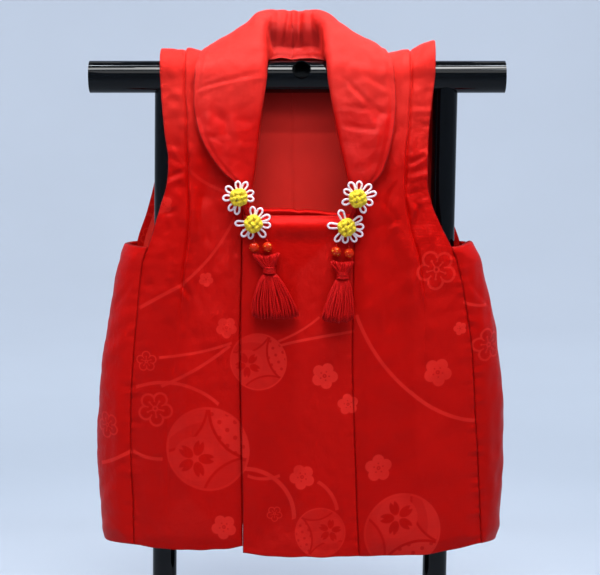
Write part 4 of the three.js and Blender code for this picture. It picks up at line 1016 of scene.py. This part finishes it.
def make_band(which):
    over = which == "over"
    top, lift = BAND_TOP[which], LAYER if over else 0.0
    level = spaced(BACK_HEM, top, 150, np.array([0, 0.3, 0.8, 1.5, 2.4, 3.6]))
    free = -OUTLINE["left"]["inner"](level) + GAP + (0 if over else GAP)
    seam = OUTLINE["right"]["inner"](level) + (SEAM_MEET if over else 3)
    x = spaced(free, seam, 50)
    z = level[:, None] + 0 * x
    way = front_way(z)
    bent = hem_bend(z, BAND_HEM(x) + (0 if over else 3))
    from_free, from_seam, from_top = x - free[:, None], seam[:, None] - x, top - z
    from_side = np.minimum(from_free, from_seam)
    inside = np.minimum(from_side, np.minimum(from_top, z - BACK_HEM))
    puff = np.minimum(from_side, from_top + 1)
    thick = WALL_EDGE + (WALL_PUFF - 0.4) * smooth(0, SOFT_EDGE, puff)
    bent = bent + hem_wave(x, 95, z - BACK_HEM)
    if over:         # its top edge is a plump roll
        crown = 2.2 + 1.8 * smooth(34, 20, np.abs(x))
        rolled = thick + crown * smooth(26, 9, from_top) * smooth(0, 8, puff)
        thick = 2.2 + (rolled - 2.2) * smooth(-2, 8, from_top)
        thick += waves(x, way, inside, 0.42, 48, 91) * smooth(0, 60, from_top)
        thick += waves(x, way, inside, 0.18, 17, 92)
        thick += 0.1 * crumple(x, way, 20, 96) * smooth(1, 8, inside) + creases(x, way, BAND_CREASES)
        thick += 0.2 * puckers(way, from_free, 12, 4, 93)
        thick += 0.4 * puckers(way, from_seam, 9, 4, 94) * smooth(-200, -280, way)
    else:            # its top edge is a thin piping, which dips at the middle and slopes down to the right
        thick += 3.2 * np.exp(-((from_top - 2.6) / 1.7) ** 2) * smooth(0, 6, from_side)
        slope = 0.8 * smooth(12, -20, x) - 3.4 * smooth(2, 40, x) - 1.3 * np.exp(-((x + 1) / 3.2) ** 2)
        bent = bent + slope * smooth(14, 0, from_top)
    draw, hung = edge_round(inside), front_way(bent)
    inner = drape(x, hung, lift + draw)
    outer = drape(x, hung, lift + np.maximum(thick, 2.0) - draw)
    made = wall(f"coat_band_{which}", inner, outer, RED, np.stack([x, hung, inside], -1))
    return piece(made, "red_damask", f"front_band_{which}")


COLLAR_CLEAR, CORNER = 0.7, 5.0     # the collar's air over the panel, and its rolled corner
SECTION = (14, 10, 26)              # points on its standing part, its rolled corner and its fall


def settle(side, point):
    """Keeps a point of the collar clear of the panel that it falls on."""
    way, lift = locate(point)
    x = SIGN[side] * point[0]
    inner_x, _, outer_x = (float(e) for e in edges_at(side, np.array(way)))
    inside = min(x - inner_x, outer_x - x)
    if inside < -2:
        return point
    top = float(base_lift(side, x, np.array(way)))
    top += float(panel_wall(side, x, np.array(way), max(inside, 0))) + COLLAR_CLEAR
    return drape(point[0], way, top) if lift < top else point


def collar_section(side, row):
    """The collar's inner face at one row: neck seam, standing part, rolled corner, fall."""
    neck_way, roll_x, roll_way, roll_lift, fall_x, fall_way, fall_lift, belly = row
    sign = SIGN[side]
    seam = NECK[side][-1][1]

    def neck_x(way):
        return float(edges_at(side, np.array(way))[0])
    lean = min(0.0, neck_x(neck_way + 0.5) - neck_x(neck_way - 0.5))
    inset = 1.5 / math.hypot(1, lean)
    x = max(seam, neck_x(neck_way) - inset)
    way = np.array(neck_way + inset * lean)
    neck = drape(sign * x, way, base_lift(side, x, way) + 0.8 - 4.5 * smooth(18, 30, neck_way))
    roll_way = np.array(float(roll_way))
    roll = drape(sign * roll_x, roll_way, base_lift(side, roll_x, roll_way) + roll_lift)
    edge = settle(side, drape(sign * fall_x, fall_way, fall_lift))
    stand, drop = neck - roll, edge - roll
    stand_length, drop_length = np.linalg.norm(stand), np.linalg.norm(drop)
    corner = min(CORNER, 0.45 * stand_length, 0.45 * drop_length)
    before, after = roll + stand / stand_length * corner, roll + drop / drop_length * corner
    outward = unit(np.cross(unit(np.cross(stand, drop)), drop))
    if outward @ stand > 0:
        outward = -outward
    t = np.linspace(0, 1, SECTION[0], endpoint=False)[:, None]
    points = list(neck + (before - neck) * t)
    t = np.linspace(0, 1, SECTION[1], endpoint=False)[:, None]
    points += list((1 - t) ** 2 * before + 2 * (1 - t) * t * roll + t * t * after)
    near = np.array([0.5, 0.9, 1.6, 2.6, 4]) / max(drop_length, 20)
    t = np.concatenate([np.linspace(0, 1 - 1.4 * near[-1], SECTION[2]), 1 - near[::-1], [1]])
    for share in t:
        point = after + (edge - after) * share
        point = point + outward * belly * max(0.0, math.sin(1.1 * math.pi * share))
        points.append(settle(side, point))
    return np.array(points)


def softened(grid):
    """A grid with each row but the first and last drawn towards its neighbours."""
    return np.concatenate([grid[:1], 0.25 * grid[:-2] + 0.5 * grid[1:-1] + 0.25 * grid[2:], grid[-1:]])


def make_collar(side):
    sign, seed = SIGN[side], SEED[side]
    table = np.array(COLLAR[side], float)
    fine = np.linspace(0, len(table) - 1, 127)
    columns = [curve_of(list(enumerate(table[:, k])))(fine) for k in range(8)]
    inner = np.array([collar_section(side, row) for row in zip(*columns)])
    for _ in range(2):
        inner = softened(inner)
    normal = unit(np.cross(np.gradient(inner, axis=0), np.gradient(inner, axis=1)) * -sign)
    normal[-1, :, 0] = 0
    inner[-1, :, 0] = BACK_SEAM_X
    for _ in range(3):
        normal = softened(normal.swapaxes(0, 1)).swapaxes(0, 1)
    normal = unit(normal)
    # along a row from the neck seam to the edge, and down the collar from its front point
    step = np.linalg.norm(np.diff(inner, axis=1), axis=2)
    run = np.concatenate([np.zeros((len(inner), 1)), np.cumsum(step, 1)], 1)
    rolled = SECTION[0] + 5     # the column on the rolled corner
    reach = np.linalg.norm(np.diff(inner[:, rolled], axis=0), axis=1)
    down = np.concatenate([[0], np.cumsum(reach)])[:, None] + 0 * run
    from_edge = run[:, -1:] - run
    from_side = np.minimum(run, from_edge)
    inside = np.minimum(from_side, down)
    # where a point lies: on the standing part, at its back, in front, and on the fall at the back
    x, y, z = (inner[..., k] for k in range(3))
    height, column = z + 0.4 * y, np.arange(inner.shape[1])[None, :]
    standing = smooth(SECTION[0] + 7, SECTION[0] - 1, column) * smooth(-2, 6, y)
    at_back, in_front = smooth(2, 9, y) * standing, smooth(12, -6, y)
    on_back_fall = smooth(SECTION[0] + 8, SECTION[0] + 15, column) * smooth(4, 14, y) * smooth(0, 6, inside)
    thick = 3.5 + 1.1 * smooth(0, 10, from_side) + waves(x, height, inside, 0.5, 42, 101)
    fine_folds = 0.26 * ripple(x, height, 16, seed + 102) + 0.4 * crumple(x, height, 15, seed + 105)
    thick += fine_folds * smooth(1, 8, inside) * (1 - at_back)
    thick += creases(x, z, COLLAR_CREASES[side]) * in_front * smooth(0, 6, inside)
    thick += creases(x, z, COLLAR_BACK_CREASES[side]) * on_back_fall
    thick += 0.25 * puckers(down, from_edge, 11, 4, seed + 103)
    thick -= 0.55 * np.exp(-((from_edge - 5.2) / 1.5) ** 2) * in_front     # the trough behind the rim
    gathered = standing * smooth(FACING, FACING + 4, run)
    for at, depth, wide, slant in STAND_GATHERS:
        beside = x - at - slant * (z - 605)
        thick -= depth * gathered * np.exp(-(beside / wide) ** 2)
        thick += 0.15 * depth * gathered * np.exp(-((beside - 1.9 * wide) / (1.2 * wide)) ** 2)
    thick += 3.5 * at_back * smooth(FACING, 38, run)
    thick += at_back * (1.6 * smooth(FACING, 0, run) - 1.3 * np.exp(-((run - FACING) / 1.0) ** 2))
    thick += at_back * 0.4 * smooth(FACING, 2, run) * ripple(x, 3 * run, 12, 107)
    draw = edge_round(from_side, 1.75)
    outer = inner + normal * (np.maximum(thick, 1.8) - draw)[..., None]
    # the standing back lies in the shade
    deep = at_back * smooth(FACING - 1, FACING + 1, run) * smooth(42, 22, run)
    hidden = np.maximum(0.92 * deep, 0.45 * at_back * smooth(FACING + 1, FACING - 1, run))
    shaded = np.minimum(inside, 1.6 - 3.6 * hidden)
    cloth = np.stack([sign * (run - run[:, rolled][:, None] + 30), -120 + down, shaded], -1)
    made = wall(f"coat_collar_{side}", inner + normal * draw[..., None], outer, RED_COLLAR, cloth)
    return piece(made, "red_damask", f"collar_{side}")


# ---------- trims ----------
# name, x, z, lift of the cloth, turn in degrees, loops as (angle, reach)
FLOWERS = [
    ("left_upper", -56.6, 448.9, 10.7, 10,
     [(94, 15.4), (62, 16.4), (19, 15), (351, 14.6), (142, 15.8), (184, 15.6), (234, 16), (262, 16.8)]),
    ("left_lower", -43.2, 424.6, 9.6, 38,
     [(93, 16.2), (62, 16.6), (24, 17.4), (352, 16.6), (310, 17.2), (257, 15.4), (228, 16.8), (180, 17.8)]),
    ("right_upper", 53.3, 448.2, 15.3, 20,
     [(117, 17), (84, 16.4), (46, 18), (16, 18.4), (340, 15.4), (296, 15.4), (198, 15.6), (149, 15.4)]),
    ("right_lower", 43.3, 421.2, 9.8, 30,
     [(112, 17.6), (34, 17.4), (1, 16.4), (332, 17.4), (302, 16.6), (264, 15.6), (232, 17.6), (175, 18.4)]),
]
# x, z and lift of the cord from the upper flower to the lower one
LINKS = {
    "left": [(-54.1, 443.4, 12), (-50.6, 437, 12.3), (-47.4, 431, 11.6), (-45.4, 428.2, 11.3)],
    "right": [(51.8, 443, 16.6), (49.4, 436, 16.6), (46.6, 429.4, 13), (45.2, 426.2, 11.5)],
}
# beads and bound as x, z; head as x, z, half width, tilt; skirt as x, z, half width, depth
PENDANTS = {
    "left": {"cloth": 9.9, "flower": FLOWERS[1], "beads": [(-42.4, 402.4), (-30.2, 403)],
             "head": (-31.2, 393.2, 13, 6), "bound": (-28.4, 381.6), "skirt": (-22.6, 336.6, 21.6, 5.6)},
    "right": {"cloth": 9.9, "flower": FLOWERS[3], "beads": [(33.6, 398.6), (45.6, 397)],
              "head": (39.2, 387.4, 11, -4), "bound": (39.4, 376.6), "skirt": (35, 334, 14.4, 7)},
}
HEAD_RISE = {"left": 2.8, "right": 1.2}     # how far the corners of a tassel's head stand above its middle
# radii of the cords and threads
PETAL_R, LINK_R, STRING_R, STRAND_R, RIM_R, THREAD_R, LOOP_R = 1.02, 0.82, 0.58, 1.95, 2.1, 0.68, 0.78
PETAL_LIFT, PETAL_ROOT, HUB_R = 4.4, 4.2, 3.2       # of the petal loops, over the cloth and from the middle
KNOT_LIFT, KNOT_R, DOME_R, STRAND_GAP = 5.9, 7.3, 8.3, 4.4
BEAD_R, BEAD_SEAT, BORE_R = 4.7, 0.4, 1.2
TASSEL_MIDDLE, NECK_R, HEAD_LOOPS, BINDINGS, THREADS = 5.8, 3.2, 58, 5, 150
GOLDEN_ANGLE = 137.508     # degrees


def on_front(x, z, lift):
    """A place on the front, lift off the tube's cloth."""
    return drape(x, front_way(z), lift)


def trim(name, parts, material, slot, node):
    """One piece from several cords."""
    piece(make_mesh(name, *joined(parts), material), slot, node)


def circle(radius_x, height, radius_z, count):
    """A ring round the way out of the front; each measure is a number or a row of count numbers."""
    angle = np.linspace(0, 2 * np.pi, count, endpoint=False)
    return np.stack([radius_x * np.cos(angle), -height + 0 * angle, radius_z * np.sin(angle)], -1)


def make_flower(name, x, z, cloth, turn, loops):
    seat = on_front(x, z, cloth)
    rng = np.random.default_rng(len(name) + int(turn))
    parts = []
    for angle, reach in loops:
        wide, tip = rng.uniform(0.88, 1.1), reach - 0.95
        edge = [(PETAL_ROOT, 0.55), (PETAL_ROOT + 3.2, 1.5 * wide), (tip - 3.4, 2.35 * wide),
                (tip - 1.1, 1.75 * wide)]
        shape = edge + [(tip, 0)] + [(a, -b) for a, b in edge[::-1]]
        raised = rng.uniform(-0.5, 0.9)
        c, s = math.cos(math.radians(angle)), math.sin(math.radians(angle))
        path = [(a * c - b * s, -PETAL_LIFT - raised * smooth(PETAL_ROOT, tip, a), a * s + b * c)
                for a, b in shape]
        parts.append(tube(seat + spline(path, 5), PETAL_R))
    parts.append(tube(seat + circle(HUB_R, 4.1, HUB_R, 14), 1.3, ring=True))
    parts.append(tube(seat + np.array([(0, -0.6, 0), (0, -2, 0), (0, -3.6, 0)]), 2.6))
    trim(f"flower_{name}", parts, WHITE, "white_cord", f"petals_{name}")

    # the button is a basket knot: strands that cross over and under on a low dome
    parts = []
    t = np.linspace(-1, 1, 31)
    turned = math.radians(turn)
    for family in (0, 1):
        for k, off in enumerate((-STRAND_GAP, 0, STRAND_GAP)):
            across = t * math.sqrt(KNOT_R ** 2 - off ** 2)
            dome = np.sqrt(np.clip(1 - (across ** 2 + off ** 2) / DOME_R ** 2, 0, 1))
            weave = 1.15 * np.cos(across / STRAND_GAP * np.pi + np.pi * (k + family))
            height = 5.6 * dome - 0.9 + weave * smooth(1, 0.7, np.abs(t))
            wobble = 0.45 * np.sin(across * 0.8 + 2.1 * k + family + turned)
            u, v = (across, off + wobble) if family == 0 else (off + wobble, across)
            strand = [u * math.cos(turned) - v * math.sin(turned), -KNOT_LIFT - 1.2 - np.maximum(height, 0),
                      u * math.sin(turned) + v * math.cos(turned)]
            parts.append(tube(seat + np.stack(strand, -1), STRAND_R))
    around = np.linspace(0, 2 * np.pi, 36, endpoint=False)
    swell = 6.3 * (1 + 0.09 * np.cos(4 * (around - turned - 0.78)))
    dip = 0.7 * np.cos(6 * (around - turned))
    parts.append(tube(seat + circle(swell, KNOT_LIFT + 2.6 - dip, swell, 36), RIM_R, ring=True))
    trim(f"button_{name}", parts, YELLOW, "yellow_cord", f"knot_{name}")


def make_link(name, rows):
    path = spline([on_front(*row) for row in rows], 6)
    side = unit(np.cross(unit(np.gradient(path, axis=0)), [0, -1, 0]))
    strands = [tube(path + side * off, LINK_R) for off in (-0.86, 0.86)]
    trim(f"frog_link_{name}", strands, SILK, "dark_red_silk", f"link_cord_{name}")


def make_beads(name, pendant):
    limit = math.atan2(math.sqrt(BEAD_R ** 2 - BORE_R ** 2), BORE_R)
    latitude = np.linspace(-limit, limit, 15)[:, None]
    around = np.linspace(0, 2 * np.pi, 28, endpoint=False)
    rings = BEAD_R * np.stack([np.cos(latitude) * np.cos(around), np.cos(latitude) * np.sin(around),
                               np.sin(latitude) + 0 * around], -1)
    # the rings close on themselves, and the last joins the first through the bore
    faces = quads_of(closed(closed(np.arange(rings[..., 0].size).reshape(15, 28)).T).T)
    for k, (x, z) in enumerate(pendant["beads"], 1):
        points = on_front(x, z, pendant["cloth"] + BEAD_R + BEAD_SEAT) + rings.reshape(-1, 3)
        trim(f"glass_bead_{name}_{k}", [(points, faces)], GLASS, "red_glass", f"bead_{name}_{k}")


def make_bead_cord(name, pendant):
    """One cord through both beads and under the flower."""
    _, flower_x, flower_z, cloth = pendant["flower"][:4]
    lift, low = pendant["cloth"] + BEAD_R + BEAD_SEAT, cloth + 1.7
    legs = [[(x, z - BEAD_R, lift), (x, z, lift), (x, z + BEAD_R + 0.5, lift),
             (x + 0.16 * (flower_x - x), z + BEAD_R + 2.4, low)] for x, z in pendant["beads"]]
    path = [on_front(*place) for place in legs[0] + [(flower_x + 3, flower_z - 7.5, low)] + legs[1][::-1]]
    trim(f"bead_string_{name}", [tube(spline(path, 7), STRING_R)], SILK, "dark_red_silk", f"bead_cord_{name}")


def make_tassel(name, pendant):
    head_x, head_z, half, tilt = pendant["head"]
    bound_x, bound_z = pendant["bound"]
    skirt_x, skirt_z, skirt_half, skirt_depth = pendant["skirt"]
    rng = np.random.default_rng(7 if name == "left" else 8)
    base = pendant["cloth"] + 0.3
    middle = base + TASSEL_MIDDLE
    parts = []
    # the head: a fan of thread loops from the neck
    for k in range(HEAD_LOOPS):
        share = -1 + 2 * (k + 0.5) / HEAD_LOOPS + rng.uniform(-0.03, 0.03)
        depth = rng.uniform(-1, 1)
        peak = head_z + HEAD_RISE[name] * abs(share) ** 1.6 + 0.8 + rng.uniform(-0.7, 0.7)
        peak += 0.32 * half * share * math.sin(math.radians(tilt))
        tip_x, neck_x = head_x + half * 0.93 * share, bound_x + NECK_R * share
        bulge = 0.192 * share * half
        path = [(neck_x, bound_z + 1.5, 2.0 * depth),
                (neck_x + (tip_x - neck_x) * 0.6 - bulge, bound_z + (peak - bound_z) * 0.42, 3.0 * depth),
                (tip_x - 0.5 * share, peak - 2.2, 3.3 * depth + 0.4), (tip_x, peak, 2.2 * depth),
                (tip_x - 1.2 * share, peak - 1.8, 2.4 * depth - 1.4)]
        parts.append(tube(spline([on_front(x, z, middle + lift) for x, z, lift in path], 4), LOOP_R, 5))
    t = np.linspace(0, 1, 7)
    for share in (-0.8, -0.45, 0, 0.45, 0.8):   # a body under the loops, so that the head isn't hollow
        x = bound_x + (head_x + half * 0.8 * share - bound_x) * t
        z = bound_z + (head_z - 2 + HEAD_RISE[name] * share ** 2 * 0.6 - bound_z) * t
        parts.append(tube(on_front(x, z, middle - 0.4), 2.2 + 1.0 * np.sin(np.pi * t)))
    angle = np.linspace(0, 2 * np.pi, 22, endpoint=False)
    for k in range(BINDINGS):
        z = bound_z + 2.2 - 1.15 * k + 0.25 * np.sin(angle + k)
        bound = on_front(bound_x + 5.3 * np.cos(angle), z, middle + 4.0 * np.sin(angle))
        parts.append(tube(bound, THREAD_R, 6, ring=True))
    # the skirt's threads, spread evenly over its round
    t = np.linspace(0, 1, 9)
    widen = np.sin(np.pi / 2 * t) ** 0.9
    for k in range(THREADS):
        share, angle = math.sqrt((k + 0.5) / THREADS), math.radians(k * GOLDEN_ANGLE)
        u, v = share * math.cos(angle), share * math.sin(angle)
        shorter, sway = rng.uniform(-2.2, 0.8), rng.normal(0, 0.6)
        x = bound_x + (skirt_x - bound_x) * t + u * (4.9 + (skirt_half - 4.9) * widen)
        x = x + sway * np.sin(np.pi * t) + 0.3 * np.sin(9 * t + k)
        z = bound_z - 2.6 + (skirt_z - bound_z + 2.6 + 1.6 * u * u - shorter) * t
        lift = np.maximum((3.4 + (skirt_depth - 3.4) * widen) * (1 + v), 0) + 0.9
        parts.append(tube(on_front(x, z, base + lift), np.where(t > 0.97, 0.85, THREAD_R), 5))
    trim(f"silk_tassel_{name}", parts, SILK, "dark_red_silk", f"tassel_{name}")


# ---------- the stand ----------
WELD, SHARP = 2e-5, math.radians(32)        # metres, and the least angle of an edge that stays sharp


def smooth_by_angle():
    """Welds a solid's faces and shades them smooth but for its sharp edges."""
    group = bpy.data.node_groups.new("smooth_by_angle", "GeometryNodeTree")
    for way in ("INPUT", "OUTPUT"):
        group.interface.new_socket("Geometry", in_out=way, socket_type="NodeSocketGeometry")
    start, end, weld, angle, compare, faces, edges = (group.nodes.new(kind) for kind in (
        "NodeGroupInput", "NodeGroupOutput", "GeometryNodeMergeByDistance", "GeometryNodeInputMeshEdgeAngle",
        "FunctionNodeCompare", "GeometryNodeSetShadeSmooth", "GeometryNodeSetShadeSmooth"))
    weld.inputs["Distance"].default_value = WELD
    compare.operation = "LESS_EQUAL"
    compare.inputs[1].default_value = SHARP
    edges.domain = "EDGE"
    for source, target in (
            (start.outputs[0], weld.inputs["Geometry"]), (weld.outputs[0], faces.inputs["Geometry"]),
            (faces.outputs[0], edges.inputs["Geometry"]), (compare.outputs[0], edges.inputs["Shade Smooth"]),
            (angle.outputs["Unsigned Angle"], compare.inputs[0]), (edges.outputs[0], end.inputs[0])):
        group.links.new(source, target)
    return group


def dress_stand():
    group = smooth_by_angle()
    for name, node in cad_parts.items():
        if name.startswith("stand_"):
            node.data.materials.clear()
            node.data.materials.append(BLACK)
            node.modifiers.new("smooth_by_angle", "NODES").node_group = group


# ---------- making it ----------
bodies = {side: make_body(side) for side in SIDES}
linings = {side: make_lining(side) for side in SIDES}
gussets = {side: make_gusset(side) for side in SIDES}
collars = {side: make_collar(side) for side in SIDES}
bands = {which: make_band(which) for which in ("under", "over")}
for flower in FLOWERS:
    make_flower(*flower)
for link_name, link_rows in LINKS.items():
    make_link(link_name, link_rows)
for pendant_name, pendant_facts in PENDANTS.items():
    make_beads(pendant_name, pendant_facts)
    make_bead_cord(pendant_name, pendant_facts)
    make_tassel(pendant_name, pendant_facts)
dress_stand()


# ---------- floor, light and camera ----------
FLOOR_R, BEND_R, WALL_TOP, BELOW = 1900, 1300, 4200, 0.2       # mm; BELOW keeps the floor off the feet
# the camera's distance and target in metres, and its sensor and lens in mm
DISTANCE, ELEVATION, TARGET, SENSOR, LENS = 1.5, math.radians(8), Vector((0, -0.03, 0.363)), 36, 95.76
STRIP_TINT = (0.84, 0.92, 1.0)


def make_stage():
    """A pale round floor that turns up into a backdrop all the way round."""
    profile = [(0.02, 0), (300, 0), (900, 0), (FLOOR_R, 0)]
    for bend in np.radians(np.arange(1, 13) * 7.5):
        profile.append((FLOOR_R + BEND_R * math.sin(bend), BEND_R - BEND_R * math.cos(bend)))
    profile.append((FLOOR_R + BEND_R, WALL_TOP))
    around = np.linspace(0, 2 * np.pi, 97)
    rows = np.array([[(r * math.cos(a), r * math.sin(a), z - BELOW) for a in around] for r, z in profile])
    net = Net("pale_floor", Roughness=0.85, Specular_IOR_Level=0.1)
    place = net.place()
    tone = net.noise(place, 2.0, 3.0)
    # painted shade: the floor is darker towards its middle, with random tone
    far = net.step(net.vector("LENGTH", place), 0.3, 1.9)
    share = tone * 0.3 + far * 0.7
    net.set("Base Color", net.choose(share, (0.46, 0.50, 0.565, 1), (0.65, 0.705, 0.79, 1)))
    faces = quads_of(np.arange(rows[..., 0].size).reshape(len(rows), -1))
    floor = make_mesh("floor", rows, faces, net.material)


def aim(made, place, heading):
    """Puts a lamp or a camera at place, looking along heading."""
    bpy.context.scene.collection.objects.link(made)
    made.location = place
    made.rotation_mode = "QUATERNION"
    made.rotation_quaternion = heading.to_track_quat("-Z", "Y")


def make_light(name, place, target, size, energy, spread=180, tint=(1, 1, 1)):
    data = bpy.data.lights.new(name, "AREA")
    data.color = tint
    data.shape = "RECTANGLE"
    data.size, data.size_y = size
    data.energy, data.spread = energy, math.radians(spread)
    aim(bpy.data.objects.new(name, data), Vector(place), Vector(target) - Vector(place))


def make_camera():
    data = bpy.data.cameras.new("camera")
    data.sensor_width, data.lens = SENSOR, LENS
    data.clip_start, data.clip_end = 0.05, 30
    camera = bpy.data.objects.new("camera", data)
    back = Vector((0, -math.cos(ELEVATION), math.sin(ELEVATION)))
    aim(camera, TARGET + back * DISTANCE, -back)
    bpy.context.scene.camera = camera


make_stage()
# name, place, target, size and energy in watts
make_light("strip_above", (0, -0.02, 2.05), (0, 0, 0.5), (2.6, 0.05), 38, tint=STRIP_TINT)
make_light("strip_front", (0, -0.95, 1.86), (0, 0, 0.5), (2.6, 0.05), 17, tint=STRIP_TINT)
make_light("key", (0.12, -0.75, 1.15), (0, 0, 0.44), (0.9, 0.3), 2.2)
make_light("shoulders", (0.03, -0.21, 1.05), (0, -0.05, 0.60), (0.7, 0.12), 0.62, spread=48)
make_light("backdrop", (0, 1.3, 2.4), (0, 3.1, 0.7), (3.4, 0.5), 33)
make_light("backdrop_front", (0, -1.9, 3.0), (0, -3.1, 0.9), (3.4, 0.5), 5)
make_camera()
world = bpy.data.worlds.new("studio")
bpy.context.scene.world = world
world.use_nodes = True
sky, strength = world.node_tree.nodes["Background"].inputs[:2]
sky.default_value, strength.default_value = (0.80, 0.86, 1.0, 1), 0.08
bpy.context.scene.view_settings.view_transform = "Standard"
